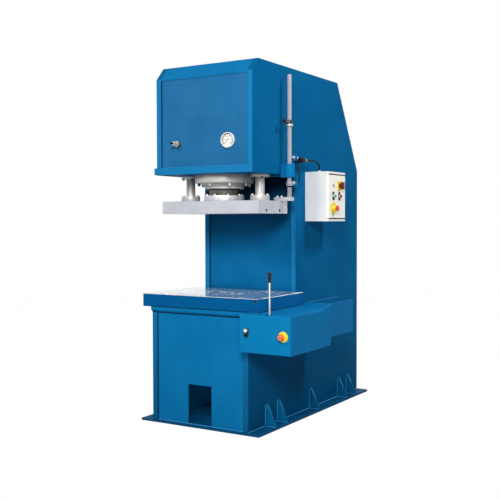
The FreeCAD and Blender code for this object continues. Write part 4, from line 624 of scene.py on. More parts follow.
def roundedRect(width, height, radius, steps):
    # counter-clockwise: a quarter circle at each corner
    a = np.linspace(0.0, math.pi / 2, steps)
    arcs = [np.stack([sx * (width / 2 - radius) + radius * np.cos(a + turn),
                      sy * (height / 2 - radius) + radius * np.sin(a + turn)], 1)
            for sx, sy, turn in ((1, 1, 0.0), (-1, 1, math.pi / 2), (-1, -1, math.pi), (1, -1, 1.5 * math.pi))]
    return np.concatenate(arcs)


def moved(shape, place, axis=up, spin=0.0):
    # turns z to the axis, after a spin about z, and carries it to the place
    points, faces = shape
    toAxis = Vector(up).rotation_difference(Vector(axis)).to_matrix()
    turn = np.array(toAxis @ Matrix.Rotation(spin, 3, "Z"))
    return np.asarray(points) @ turn.T + np.asarray(place, float), faces


def lathe(run, edge, steps, place, axis=up):
    # a turned solid from its run of radius and height, the corners eased
    return moved(turned(eased(run, edge), steps), place, axis)


def tube(run, edge, steps, place, axis=up):
    # the same for a hollow part, whose run closes on its own first point
    run = eased(run, edge)
    return moved(turned(np.concatenate([run, run[:1]]), steps), place, axis)


def stepped(inner, low, *stages):
    # the run of a stepped round: out from the inner radius, up one (radius, top) stage after the other, back in
    run = [(inner, low)]
    for radius, top in stages:
        run += [(radius, low), (radius, top)]
        low = top
    return run + [(inner, low)]


def ring(count, radius, middle, height, axis, shape, first=0.0):
    # copies of one shape at even turns of a circle about an upright axis
    turns = math.radians(first) + np.arange(count) * 2.0 * math.pi / count
    return [moved(shape, (middle[0] + radius * math.cos(t), middle[1] + radius * math.sin(t), height), axis, t)
            for t in turns]


def toFront(shape, at):
    # stands a flat shape on a face that looks along -y: x stays, y becomes height
    p, faces = shape
    return np.stack([p[:, 0], -p[:, 2], p[:, 1]], 1) + np.asarray(at, float), faces


def toSide(shape, at):
    # the same on a face that looks along +x; the shape's x runs along y
    p, faces = shape
    return np.stack([p[:, 2], p[:, 0], p[:, 1]], 1) + np.asarray(at, float), faces


def onFace(outline, low, high, at, edge):
    return toFront(slab(outline, low, high, edge), at)


def onSide(outline, low, high, at, edge):
    return toSide(slab(outline, low, high, edge), at)


def joined(shapes):
    # several shapes as one, the point numbers shifted
    points, faces, start = [], [], 0
    for part, quads in shapes:
        points.append(np.asarray(part, float))
        faces.extend([[n + start for n in f] for f in quads])
        start += len(part)
    return np.concatenate(points), faces


def settle(name, mesh, finish, body, stands, smooth):
    # shades it smooth up to the angle, paints it and hands it to its body
    mesh.polygons.foreach_set("use_smooth", np.ones(len(mesh.polygons), bool))
    mesh.set_sharp_from_angle(angle=math.radians(smooth))
    mesh.materials.clear()
    mesh.materials.append(finishes[finish])
    thing = newThing(name, mesh)
    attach(thing, body)
    if stands:
        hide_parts(stands)
    return thing


def piece(name, shape, finish, body, slotName, stands="", smooth=38.0):
    # makes the mesh, merges doubles and points the faces outwards
    if isinstance(shape, list):
        shape = joined(shape)
    mesh = bpy.data.meshes.new(name)
    mesh.from_pydata(np.asarray(shape[0]).tolist(), [], shape[1])
    clean = bmesh.new()
    clean.from_mesh(mesh)
    bmesh.ops.remove_doubles(clean, verts=clean.verts, dist=1e-6)
    bmesh.ops.dissolve_degenerate(clean, dist=1e-7, edges=clean.edges)
    bmesh.ops.recalc_face_normals(clean, faces=clean.faces)
    clean.to_mesh(mesh)
    clean.free()
    return settle(name, mesh, finish, body, stands, smooth)


def softened(node, name, finish, slotName, width, segments=2, angle=30.0):
    # a copy of the solid, its flat faces merged, with a bevel on every hard edge
    source = cadNodes[node]
    mesh = source.data.copy()
    mesh.name = name
    clean = bmesh.new()
    clean.from_mesh(mesh)
    bmesh.ops.remove_doubles(clean, verts=clean.verts, dist=2e-5)
    bmesh.ops.dissolve_limit(clean, angle_limit=math.radians(1.0), verts=clean.verts, edges=clean.edges)
    clean.to_mesh(mesh)
    clean.free()
    thing = settle(name, mesh, finish, source["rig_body"], node, 30.0)
    if width > 0.0:
        bevel = thing.modifiers.new("softEdge", "BEVEL")
        for key, value in {"width": width, "segments": segments, "limit_method": "ANGLE",
                           "angle_limit": math.radians(angle), "miter_outer": "MITER_ARC", "harden_normals": True,
                           "use_clamp_overlap": True}.items():
            setattr(bevel, key, value)
    return thing


# the welded frame's plates and the blue housings, with broken edges: node, name, paint, width of the edge
for node, name, paint, width in (
        ("base_plate", "basePlate", "basePaint", 0.0015),
        ("side_plate_left", "leftSidePlate", "platePaint", 0.002),
        ("side_plate_right", "rightSidePlate", "platePaint", 0.002),
        ("base_front_panel", "baseFrontPanel", "bluePaint", 0.001),
        ("table_rest_plate", "tableRestPlate", "bluePaint", 0.0015),
        ("throat_plate", "throatPlate", "throatPaint", 0.001),
        ("head_front_panel", "headFrontPanel", "panelPaint", 0.001),
        ("roof_plate", "roofPlate", "bluePaint", 0.001),
        ("rear_panel", "rearPanel", "bluePaint", 0.001),
        ("rear_cover", "rearCover", "bluePaint", 0.0008),
        ("cylinder_mount_plate", "cylinderMountPlate", "platePaint", 0.0015),
        ("rod_guide", "rodGuide", "bluePaint", 0.001),
        ("sensor_bracket", "sensorBracket", "bluePaint", 0.0006),
        ("console_housing", "consoleHousing", "consolePaint", 0.0012)):
    softened(node, name, paint, "blue_paint", width)

# the table is blue round its rim; its ground top and the walls of its holes are bare, and the eye's hole is painted
# dark as shade
table = dict(paint="tableBlue", bare="tableSteel", dark="inkBlack", top=0.866, halfWide=0.45, deep=0.595,
             eye=(0.439, 0.854), reach=0.0085)
pressTable = softened("table", "pressTable", table["paint"], "table_paint", 0.0006)


def bareSteel(mesh, facts):
    mesh.materials.append(finishes[facts["bare"]])
    mesh.materials.append(finishes[facts["dark"]])
    found = {}
    for label in ("normal", "center"):
        values = np.empty(len(mesh.polygons) * 3)
        mesh.polygons.foreach_get(label, values)
        found[label] = values.reshape(-1, 3)
    x, y, z = found["center"].T
    bare = (found["normal"][:, 2] > 0.3) & (z > facts["top"])
    inside = (np.abs(x) < facts["halfWide"]) & (y > 0.0) & (y < facts["deep"])
    # painted shade: the faces round the eye's hole take the dark finish
    shadedEyeHole = (np.hypot(x - facts["eye"][0], z - facts["eye"][1]) < facts["reach"]) & (z < facts["top"])
    kinds = np.where(shadedEyeHole, 2, np.where(bare | inside, 1, 0))
    mesh.polygons.foreach_set("material_index", kinds.astype(np.int32))


bareSteel(pressTable.data, table)
# node, name, finish, slot, width of the edge
for facts in (("ram_plate", "ramPlate", "ramSteel", "machined_steel", 0.0008),
              ("stroke_arm", "strokeArm", "ramSteel", "turned_steel", 0.001),
              ("control_box", "controlBox", "boxPaint", "light_enamel", 0.0008),
              ("box_door", "controlBoxDoor", "doorPaint", "light_enamel", 0.0008),
              ("oil_tank", "oilTank", "castGrey", "grey_enamel", 0.002),
              ("motor_pump", "motorAndPump", "castGrey", "grey_enamel", 0.002),
              ("lever_valve", "leverValve", "castGrey", "grey_enamel", 0.001),
              ("pressure_pipe", "pressurePipe", "zinc", "turned_steel", 0.0)):
    softened(*facts)
print("plates and housings done")

# cylinder end, gland and wiper: stepped rounds on the ram's axis, hollow for the piston rod
ramAxis = (0.0, 0.315, 0.0)
bore, wall, flange, low, seat, top = 0.140, 0.180, 0.200, 1.612, 1.672, 2.11
cap, chamfer = 0.06, 0.006
barrelRun = [(bore, low), (flange - chamfer, low), (flange, low + chamfer), (flange, seat), (wall, seat),
             (wall, top), (0.0, top), (0.0, top - cap), (bore, top - cap)]
bore, shoulder, nose, foot, step = 0.1003, 0.152, 0.135, 1.575, 1.590
top, spigot = 1.690, 0.1395
glandRun = [(bore, foot), (nose - 0.004, foot), (nose, foot + 0.004), (nose, step), (shoulder, low - 0.003),
            (shoulder, low), (spigot, low), (spigot, top), (bore, top)]
foot, top, lip, outer = 1.569, 1.5752, 0.1002, 0.109
wiperRun = [(lip, foot), (lip + 0.0012, foot), (outer - 0.002, foot + 0.0015), (outer, foot + 0.003),
            (outer, top), (lip, top)]
pistonRun = stepped(0.0, 1.4932, (0.1, 1.96), (0.1397, 2.03))
flangeRun = [(0.1, 1.493), (0.138, 1.493), (0.138, 1.531), (0.1003, 1.531), (0.1003, 1.4932)]
for name, make, run, edge, *facts in (
        ("cylinderBarrel", tube, barrelRun, 0.0012, "flangeSteel", "frame", "turned_steel", "cylinder_barrel"),
        ("cylinderGland", tube, glandRun, 0.001, "glandSteel", "frame", "turned_steel", "cylinder_gland"),
        ("rodWiper", tube, wiperRun, 0.0005, "cableRubber", "frame", "black_rubber", "rod_wiper"),
        ("pistonRod", lathe, pistonRun, 0.001, "pistonSteel", "ram", "ground_rod", "piston_rod"),
        ("ramFlange", tube, flangeRun, 0.0015, "ramRingSteel", "ram", "turned_steel", "ram_flange")):
    piece(name, make(run, edge, 96, ramAxis), *facts)

# guides: columns in flanged bushes, one pair at each end of the ram plate
out, column, top, foot, footTop, flange = 0.282, 0.032, 2.06, 1.493, 1.531, 0.065
bushLow, bushSeat, bush, bushTop, slip = 1.652, 1.672, 0.045, 1.800, 0.0003
columnRun = stepped(0.0, foot, (flange, footTop), (column, top))
bushRun = stepped(column + slip, bushLow, (flange, bushSeat), (bush, bushTop))
guideSpots = [(side * out, ramAxis[1], 0.0) for side in (-1.0, 1.0)]
piece("guideColumns", [lathe(columnRun, 0.0015, 64, at) for at in guideSpots], "columnSteel", "ram", "ground_rod",
      "guide_columns")
piece("guideBushes", [tube(bushRun, 0.0012, 64, at) for at in guideSpots], "glandSteel", "frame", "turned_steel",
      "guide_bushes")

# screws: blackened and plain socket heads under the head, bright ones on the ram; under the flange one head is bright
# zinc as a painted highlight
head, headHigh, small, smallHigh, flangeCircle, ramCircle = 0.010, 0.018, 0.008, 0.010, 0.175, 0.120
guideCircle, armMiddle, armHalf, armTop = 0.051, (0.3605, 0.441), 0.0165, 1.518
largeHead = socketScrew(head, headHigh)
smallHead = socketScrew(small, smallHigh)
flangeHeads = ring(8, flangeCircle, ramAxis, barrelRun[0][1], down, largeHead)
underHead = flangeHeads[2:6]
onRam = ring(8, ramCircle, ramAxis, footTop, up, smallHead)
for at in guideSpots:
    underHead += ring(4, guideCircle, at, bushLow, down, smallHead, 45.0)
    onRam += ring(4, guideCircle, at, footTop, up, smallHead, 45.0)
onRam += ring(2, armHalf, armMiddle, armTop, up, smallHead)
for name, shapes, finish, body, stands in (
        ("headScrews", underHead, "blackSteel", "frame", "head_screws"),
        ("newHeadScrew", [flangeHeads[7]], "zinc", "frame", ""),
        ("greyHeadScrews", [flangeHeads[6]] + flangeHeads[:2], "flangeSteel", "frame", ""),
        ("ramScrews", onRam, "zinc", "ram", "ram_screws")):
    piece(name, shapes, finish, body, "zinc_steel", stands, 30.0)
print("cylinder, ram and guides done")

# stroke rod with its fixed collar; the adjustable stop collar with its landing ring and clamp knob
rodX, rodY = 0.437, 0.441
rodAxis = (rodX, rodY, 0.0)
radius, foot, top, collar, collarLow, collarHigh = 0.015, 1.518, 2.332, 0.022, 1.592, 1.619
ringOut, ringLow, ringHigh, stopHigh, bore, clampZ = 0.024, 1.9905, 2.0035, 2.0305, 0.0153, 2.017
stem, stemIn, stemOut, knob, knobEnd, buffer = 0.005, 0.0156, 0.052, 0.014, 0.077, 0.0195
rodRun = stepped(0.0, foot, (radius, collarLow), (collar, collarHigh), (radius, top))
piece("strokeRod", lathe(rodRun, 0.0015, 48, rodAxis), "rodSteel", "ram", "turned_steel", "stroke_rod")
collarScrew = moved(socketScrew(0.0035, 0.0012), (rodX, rodY - collar + 0.0004, 1.6055), front)
piece("collarScrew", collarScrew, "blackSteel", "ram", "zinc_steel")
bufferRun = stepped(radius + 0.0002, collarLow - 0.0075, (buffer, collarLow - 0.0005))
piece("collarBuffer", tube(bufferRun, 0.001, 40, rodAxis), "cableRubber", "ram", "black_rubber")
ringRun = stepped(bore, ringLow, (ringOut, ringHigh))
piece("stopRing", tube(ringRun, 0.0012, 48, rodAxis), "zinc", "stop_collar", "turned_steel", "stop_collar")
stopRun = stepped(bore, ringHigh, (collar, stopHigh))
piece("stopCollar", tube(stopRun, 0.0015, 48, rodAxis), "blackSteel", "stop_collar", "black_enamel")
clampAt = (rodX, rodY, clampZ)
stemRun = stepped(0.0, stemIn, (stem, stemOut - 0.006), (0.0085, stemOut))
piece("clampStem", lathe(stemRun, 0.0006, 32, clampAt, front), "zinc", "clamp_knob", "zinc_steel")
knobRun = [(0.0, stemOut, 0.0), (0.010, stemOut, 0.0), (knob * 0.93, stemOut + 0.001, 0.6),
           (knob, stemOut + 0.004, 1.0), (knob, knobEnd - 0.006, 1.0), (knob * 0.93, knobEnd - 0.002, 0.8),
           (0.009, knobEnd, 0.2), (0.0085, knobEnd - 0.0006, 0.0), (0.0, knobEnd - 0.0006, 0.0)]
piece("clampKnob", moved(fluted(knobRun, 8, 0.16, 72), clampAt, front), "blackPlastic", "clamp_knob",
      "black_plastic", "clamp_knob", 50.0)

# inductive sensors: threaded barrels in their brackets, coloured faces, moulded cable ends
radius, face, tip, cap, nuts, nut = 0.009, 0.469, 0.006, 0.014, (0.498, 0.507), 0.005
flats, lower, upper = 0.0225, (1.613, 0.546), (1.785, 0.561)
sensorMetal = []
sensorEnds = []
tips = []
nutShape = hexNut(flats, nut, 0.0088)
tipRun = [(0.0, 0.0), (0.0086, 0.0), (0.0092, 0.0006), (0.0092, tip), (0.0, tip)]
endRun = [(0.0, -0.001), (0.0088, -0.001), (0.0088, 0.004), (0.0070, 0.007), (0.0048, cap), (0.0, cap)]
for height, end in (lower, upper):
    barrel = threaded(radius, 0.0006, 0.0015, end - cap - face - tip)
    sensorMetal.append(moved(barrel, (rodX, face + tip, height), back))
    sensorMetal += [moved(nutShape, (rodX, y, height), back, 0.3) for y in nuts]
    tips.append(lathe(tipRun, 0.0004, 32, (rodX, face, height), back))
    sensorEnds.append(lathe(endRun, 0.0008, 32, (rodX, end - cap, height), back))
piece("sensorBarrels", sensorMetal, "nickel", "frame", "sensor_metal", "sensors", 40.0)
piece("sensorTipLower", tips[0], "sensorYellow", "frame", "signal_yellow")
piece("sensorTipUpper", tips[1], "greyPlastic", "frame", "sensor_metal")
piece("sensorEnds", sensorEnds, "greyPlastic", "frame", "sensor_metal")


def heldCable(name, route, radius, node, smooth=14):
    # one smooth curve with the route's points as its control points
    data = bpy.data.curves.new(name, "CURVE")
    data.dimensions = "3D"
    spline = data.splines.new("NURBS")
    spline.points.add(len(route) - 1)
    for point, place in zip(spline.points, route):
        point.co = (rodX,) + place + (1.0,)
    spline.order_u = 3
    spline.use_endpoint_u = True
    spline.resolution_u = smooth
    data.bevel_depth = radius
    data.bevel_resolution = 4
    data.use_fill_caps = True
    data.materials.append(finishes["cableRubber"])
    thing = newThing(name, data)
    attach(thing, "frame")
    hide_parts(node)


# routes as (Y, Z); all three lie in the plane of the stroke rod
leadRadius, hoseRadius = 0.0037, 0.006
lowerRoute = [(0.546, 1.613), (0.566, 1.614), (0.582, 1.631), (0.582, 1.664), (0.573, 1.700), (0.559, 1.730),
              (0.561, 1.749), (0.570, 1.763), (0.581, 1.769), (0.592, 1.769)]
upperRoute = [(0.561, 1.785), (0.571, 1.785), (0.582, 1.783), (0.592, 1.783)]
hoseRoute = [(0.682, 1.776), (0.727, 1.776), (0.784, 1.783), (0.838, 1.777), (0.869, 1.763), (0.884, 1.741),
             (0.884, 1.716)]
heldCable("lowerLead", lowerRoute, leadRadius, "sensor_cables")
heldCable("upperLead", upperRoute, leadRadius, "sensor_cables")
heldCable("boxHose", hoseRoute, hoseRadius, "control_conduit", 20)

# cable coupler in its clip: ribbed body, brass nut towards the hose
z, start, end, wide, neck, waist = 1.776, 0.592, 0.664, 0.015, 0.0128, 0.0138
couplerRun = [(0.0, 0.0, 0.0), (0.011, 0.0, 0.0), (neck, 0.002, 0.0), (neck, 0.010, 0.0), (wide, 0.0105, 0.6),
              (wide, 0.024, 1.0), (waist, 0.0245, 0.0), (waist, 0.048, 0.0), (wide, 0.0485, 1.0),
              (wide, 0.062, 0.6), (neck, 0.0625, 0.0), (neck, 0.070, 0.0), (0.011, 0.072, 0.0), (0.0, 0.072, 0.0)]
piece("cableCoupler", moved(fluted(couplerRun, 18, 0.07, 108), (rodX, start, z), back), "blackPlastic",
      "frame", "black_plastic", "cable_junction", 35.0)
hoseNut = moved(hexNut(0.0208, 0.010, 0.0061), (rodX, end, z), back, 0.2)
sleeveRun = [(0.0061, 0.0), (0.0090, 0.0), (0.0084, 0.0075), (0.0061, 0.0078)]
hoseSleeve = tube(sleeveRun, 0.0006, 32, (rodX, end + 0.010, z), back)
piece("hoseNut", [hoseNut, hoseSleeve], "brass", "frame", "sensor_metal", "", 30.0)
foot, half, reach, low, width = 0.380, 0.016, 0.0178, 0.618, 0.020
turn = np.linspace(-math.pi / 2, math.pi / 2, 15)
nose = np.stack([rodX + reach * np.cos(turn), reach * np.sin(turn)], 1)
clipLine = np.concatenate([[(foot, -half)], nose, [(foot, half)]])
clipPoints, clipFaces = slab(clipLine, 0.0, width, 0.001)
piece("couplerClip", (clipPoints[:, [0, 2, 1]] + (0.0, low, z), clipFaces), "blackPlastic", "frame",
      "black_plastic")
print("stroke rod, sensors and cables done")

# pressure gauge on the head: case, dial with its scale, needle and glass
gaugeAt, radius, body, deep, proud, inside = (0.196, 0.068, 1.881), 0.050, 0.042, 0.040, 0.022, 0.0449
face, needle, tail, glassLow, glassHigh = 0.0125, 0.031, 0.012, 0.018, 0.021
figures, zero = 0.0250, 225.0
gaugeX, gaugeY, gaugeZ = gaugeAt


def turnedOutline(outline, spin):
    p = np.asarray(outline, float)
    c, s = math.cos(spin), math.sin(spin)
    return np.stack([p[:, 0] * c - p[:, 1] * s, p[:, 0] * s + p[:, 1] * c], 1)


def arcLine(radius, turns):
    return np.stack([radius * np.cos(turns), radius * np.sin(turns)], 1)


caseRun = [(0.0, -deep), (body, -deep), (body, 0.0005), (0.0485, 0.0005),
           (radius, 0.002), (radius, 0.015), (0.0475, 0.0155), (0.0475, 0.018), (0.0492, 0.0185),
           (0.0490, 0.0212), (0.0478, proud), (0.0462, proud), (inside, 0.0205), (inside, 0.010), (0.0, 0.010)]
piece("gaugeCase", lathe(caseRun, 0.0006, 64, gaugeAt, front), "gaugeRim", "frame", "turned_steel", "gauge_case")
dialRun = stepped(0.0, 0.011, (0.0444, face))
piece("gaugeDial", moved(turned(dialRun, 64), gaugeAt, front), "dialWhite", "frame", "white_dial", "gauge_dial")
marks = []
for count, t in enumerate(np.radians(zero - np.arange(51) * 5.4)):
    inner, outer, half = (0.0355, 0.0400, 0.0007) if count % 5 else (0.0310, 0.0400, 0.0024)
    marks.append(turnedOutline([(inner, -half), (outer, -half), (outer, half), (inner, half)], t))
arc = np.radians(np.linspace(zero, -45.0, 91))
marks.append(np.concatenate([arcLine(0.0428, arc)[::-1], arcLine(0.0396, arc)]))
piece("dialScale", [onFace(mark, face - 0.0001, face + 0.0002, gaugeAt, 0.0) for mark in marks], "inkBlack",
      "frame", "black_plastic")

toTheFront = spun(90.0, "X")
toTheSide = spun(90.0, "Z") @ toTheFront


def writing(name, words, height, place, turn, body, finish="inkBlack"):
    # a flat curve of plain figures made into a mesh and stood on its face
    data = bpy.data.curves.new(name, "FONT")
    data.body = words
    data.size = height
    data.extrude = 0.0001
    data.resolution_u = 3
    data.align_x = data.align_y = "CENTER"
    flat = newThing(name + "Curve", data)
    bpy.context.view_layer.update()
    mesh = bpy.data.meshes.new_from_object(flat.evaluated_get(bpy.context.evaluated_depsgraph_get()))
    bpy.data.objects.remove(flat)
    mesh.transform(Matrix.Translation(place) @ turn)
    mesh.name = name
    return settle(name, mesh, finish, body, "", 30.0)


faceY = gaugeY - face - 0.0001
for count in range(6):
    t = math.radians(zero - count * 54.0)
    word = str(count * 100)
    place = (gaugeX + figures * math.cos(t), faceY, gaugeZ + figures * math.sin(t))
    writing("dialFigure" + word, word, 0.0105, place, toTheFront, "frame")
writing("dialUnit", "bar", 0.0075, (gaugeX, faceY, gaugeZ - 0.018), toTheFront, "frame")
blade = [(-0.004, -0.0016), (needle, -0.0006), (needle, 0.0006), (-0.004, 0.0016), (-tail, 0.0024),
         (-tail, -0.0024)]
hubRun = [(0.0, 0.0), (0.0035, 0.0), (0.0033, 0.0024), (0.0012, 0.0030), (0.0, 0.0030)]
piece("gaugeNeedle", [lathe(hubRun, 0.0003, 24, (gaugeX, gaugeY - face - 0.0003, gaugeZ), front),
                      onFace(turnedOutline(blade, math.radians(zero)), face + 0.0013, face + 0.0023,
                             gaugeAt, 0.0002)], "blackPlastic", "gauge_needle", "black_enamel", "gauge_needle", 30.0)
glassRun = [(0.0, glassLow), (inside, glassLow), (inside, 0.0200), (0.030, 0.0207),
            (0.015, glassHigh - 0.0001), (0.0, glassHigh)]
piece("gaugeGlass", moved(turned(glassRun, 64), gaugeAt, front), "clearGlass", "frame", "clear_glass",
      "gauge_glass", 60.0)

# relief valve beside it: body, lock nut and neck; knurled steel collar with the grip of the adjusting screw
reliefAt, foot, body, nut, neck, stem = (-0.198, 0.068, 1.873), 0.017, 0.013, 0.0375, 0.008, 0.004
wide, knob = 0.0135, 0.007
reliefX, reliefY, reliefZ = reliefAt
reliefRun = [(0.0, 0.0), (foot, 0.0), (foot, 0.005), (body, 0.006), (body, 0.012),
             (0.0122, 0.0125), (0.0122, 0.0155), (body, 0.016), (body, 0.0285), (0.0, 0.0285)]
piece("reliefBody", lathe(reliefRun, 0.0006, 48, reliefAt, front), "bronzeGrey", "frame", "grey_metal",
      "relief_valve")
lockNut = moved(hexNut(nut, 0.010, neck), (reliefX, reliefY - 0.028, reliefZ), front, 0.26)
neckThread = moved(threaded(neck, 0.0007, 0.0015, 0.0205), (reliefX, reliefY - 0.0375, reliefZ), front)
piece("reliefNut", [lockNut, neckThread], "nickel", "frame", "sensor_metal", "", 30.0)
collarRun = [(0.0, 0.0445, 0.0), (stem, 0.0445, 0.0), (stem, 0.0583, 0.0), (wide - 0.001, 0.0583, 0.0),
             (wide, 0.0590, 0.8), (wide, 0.0690, 0.8), (wide - 0.0012, 0.0703, 0.0), (0.0, 0.0703, 0.0)]
piece("reliefCollar", moved(fluted(collarRun, 30, 0.04, 120), reliefAt, front), "zinc", "relief_knob",
      "sensor_metal", "relief_knob", 30.0)
gripRun = [(0.0, 0.0700, 0.0), (0.0062, 0.0700, 0.0), (0.0064, 0.0760, 0.0), (knob, 0.0775, 0.7),
           (knob, 0.0950, 1.0), (0.0062, 0.0970, 0.3), (0.0, 0.0973, 0.0)]
piece("reliefGrip", moved(fluted(gripRun, 6, 0.14, 60), reliefAt, front), "blackPlastic", "relief_knob",
      "black_plastic", "", 45.0)
print("gauge and relief valve done")

# hand lever: chromed rod in its hub, grip of moulded plastic
leverAt, rodRadius, hub, wide, bore = (0.562, -0.040, 0.720), 0.006, 0.014, 0.018, 0.0061
low, top = 0.980, 1.043
leverX, leverY, leverZ = leverAt
hubRun = [(bore, 0.0), (hub - 0.001, 0.0), (hub, 0.001), (hub, wide - 0.001), (hub - 0.001, wide), (bore, wide)]
leverHub = tube(hubRun, 0.0003, 48, (leverX - wide / 2, leverY, leverZ), right)
rodLine = [(0.0, leverZ + 0.0095), (0.0085, leverZ + 0.0095), (0.0075, leverZ + 0.022), (rodRadius, leverZ + 0.024),
           (rodRadius, low + 0.004), (0.0, low + 0.004)]
leverRod = lathe(rodLine, 0.001, 32, (leverX, leverY, 0.0))
piece("handLever", [leverHub, leverRod], "leverChrome", "hand_lever", "turned_steel", "hand_lever")
h = np.linspace(0.0, 1.0, 40)
# the grip swells by h^1.5 and has one shallow groove, a bell curve about h = 0.86; a quarter circle ends it
gripLine = np.stack([0.0112 + 0.0018 * h ** 1.5 - 0.0006 * np.exp(-((h - 0.86) / 0.05) ** 2),
                     low + 0.002 + (top - low - 0.009) * h], 1)
domeTurn = np.linspace(0.0, math.pi / 2, 10)[1:]
dome = np.stack([0.0130 * np.cos(domeTurn), top - 0.007 + 0.007 * np.sin(domeTurn)], 1)
foot = [(0.0, low), (0.0098, low), (0.0110, low + 0.001)]
leverGrip = turned(np.concatenate([foot, gripLine, dome]), 48)
piece("leverGrip", moved(leverGrip, (leverX, leverY, 0.0)), "blackPlastic", "hand_lever", "black_plastic",
      "lever_grip")

# stop buttons: yellow disc with its neck, red mushroom with turning arrows pressed in, on console and box
mushroom = dict(sheet=0.0025, neck=0.015, neckTop=0.0205, bore=0.0083, stem=0.008, low=0.0268, radius=0.020,
                top=0.016)


def mushroomHead(at, axis):
    # a low dome over a fluted rim; the rim's radius carries 12 shallow scallops
    stem, low, radius, top = (mushroom[key] for key in ("stem", "low", "radius", "top"))
    run = [(0.0, 0.0088, 0.0), (stem, 0.0088, 0.0), (stem, low, 0.0)]
    for share, rise, flute in ((0.90, 0.0, 0.0), (0.985, 0.0012, 0.6), (1.0, 0.0035, 1.0), (1.0, 0.0065, 1.0),
                               (0.97, 0.0098, 0.7), (0.88, 0.0127, 0.2), (0.70, 0.0149, 0.0), (0.45, 0.0158, 0.0),
                               (0.2, top, 0.0), (0.0, top, 0.0)):
        run.append((radius * share, low + rise, flute))
    return moved(fluted(run, 12, 0.03, 96), at, axis)


def stopBase(radius, at, axis):
    sheet, neck, top, bore = (mushroom[key] for key in ("sheet", "neck", "neckTop", "bore"))
    run = [(0.0, 0.0), (radius, 0.0), (radius, sheet - 0.0006), (radius - 0.0008, sheet), (neck + 0.004, sheet),
           (neck + 0.003, sheet + 0.003), (neck, sheet + 0.0035), (neck, top - 0.004),
           (neck - 0.0008, top - 0.0036), (neck - 0.0008, top), (bore, top), (bore, sheet), (0.0, sheet)]
    return lathe(run, 0.0003, 64, at, axis)


def turnArrows(at, height, place):
    # two curved arrows a little proud of the dome, each a band of an arc with a wider point at its end
    shapes = []
    for start in (0.4, 0.4 + math.pi):
        t = np.linspace(start, start + 1.9, 16)
        tip = [(r * math.cos(a), r * math.sin(a)) for r, a in
               ((0.0127, start + 1.9), (0.0101, start + 1.9 + 0.42), (0.0075, start + 1.9))]
        arrow = np.concatenate([arcLine(0.0110, t), tip, arcLine(0.0092, t)[::-1]])
        shapes.append(place(arrow, height, height + 0.0004, at, 0.0001))
    return shapes


boxX, startY, stopY, buttonZ, switchZ = 0.561, 0.855, 0.950, 1.534, 1.608
stops = (("console", (0.690, -0.098, 0.660), onFace, front, 0.033, "orangeRed", "frame"),
         ("box", (boxX, startY, 1.447), onSide, right, 0.045, "red", "box_door"))
for name, at, place, axis, disc, colour, holder in stops:
    piece(name + "StopBase", stopBase(disc, at, axis), "yellow", holder, "signal_yellow", name + "_stop_base")
    button = name + "_stop_button"
    piece(name + "StopHead", mushroomHead(at, axis), colour, button, "signal_red", button)
for name, at, place, *facts in stops:
    arrows = turnArrows(at, mushroom["low"] + 0.0152, place)
    piece(name + "StopArrows", arrows, "white", name + "_stop_button", "button_white", "", 30.0)

# twin unit: white push button above a two-way selector, in one oval bezel
twinX, twinZ, twinFace, sheet, pitch = 0.428, 0.670, -0.098, 0.006, 0.026
softened("twin_bezel", "twinBezel", "blackPlastic", "grey_metal", 0.0007, 2, 40.0)
pushAt, turnAt = ((twinX, twinFace, twinZ + sign * pitch / 2) for sign in (1.0, -1.0))
ringLine = [(0.0113, 0.0008), (0.0127, 0.0008), (0.0127, sheet - 0.0004), (0.0122, sheet), (0.0116, sheet),
            (0.0113, sheet - 0.0005)]
piece("twinRings", [tube(ringLine, 0.0001, 40, at, front) for at in (pushAt, turnAt)], "greyPlastic", "frame",
      "grey_metal")


def buttonCap(low, proud, dish):
    # flat cap with a rounded rim and a shallow dish: depth = dish * (1 - (r / R)^2)
    r = np.linspace(0.0085, 0.0, 8)
    bowl = np.stack([r, proud - dish * (1.0 - (r / 0.0085) ** 2)], 1)
    edge = [(0.0, low), (0.0108, low), (0.011, low + 0.0002), (0.011, proud - 0.0014), (0.0104, proud - 0.0003),
            (0.0096, proud)]
    return turned(np.concatenate([edge, bowl]), 48)


piece("consolePush", moved(buttonCap(0.0053, 0.0133, 0.0010), pushAt, front), "white", "console_push_button",
      "button_white", "console_push_button")


def gripBar(width, length, low, high, steps):
    # a bar with round ends that draws in towards its top: 1 - 0.18 t^6 across, 1 - 0.06 t^6 along
    rows = []
    for t in (0.0, 0.5, 0.72, 0.86, 0.95, 1.0):
        draw = 1.0 - 0.18 * t ** 6
        outline = roundedRect(width * draw, length * (1.0 - 0.06 * t ** 6), width * draw * 0.42, steps)
        rows.append(np.column_stack([outline, np.full(len(outline), low + (high - low) * t)]))
    return capped(np.concatenate(rows), gridFaces(len(rows), len(rows[0])), len(rows[0]))


hubLine = [(0.0, 0.0013), (0.0109, 0.0013), (0.0109, 0.0078), (0.0104, 0.0093), (0.0, 0.0093)]
piece("consoleSelector", [lathe(hubLine, 0.0005, 40, turnAt, front),
                          toFront(gripBar(0.006, 0.0198, 0.008, 0.019, 4), turnAt)], "blackPlastic",
      "console_selector", "black_plastic", "console_selector", 35.0)
barMark = onFace(roundedRect(0.0012, 0.0070, 0.0005, 3), 0.01895, 0.0191, (*turnAt[:2], turnAt[2] + 0.004), 0.0)
piece("selectorMark", barMark, "white", "console_selector", "button_white")
print("console controls done")

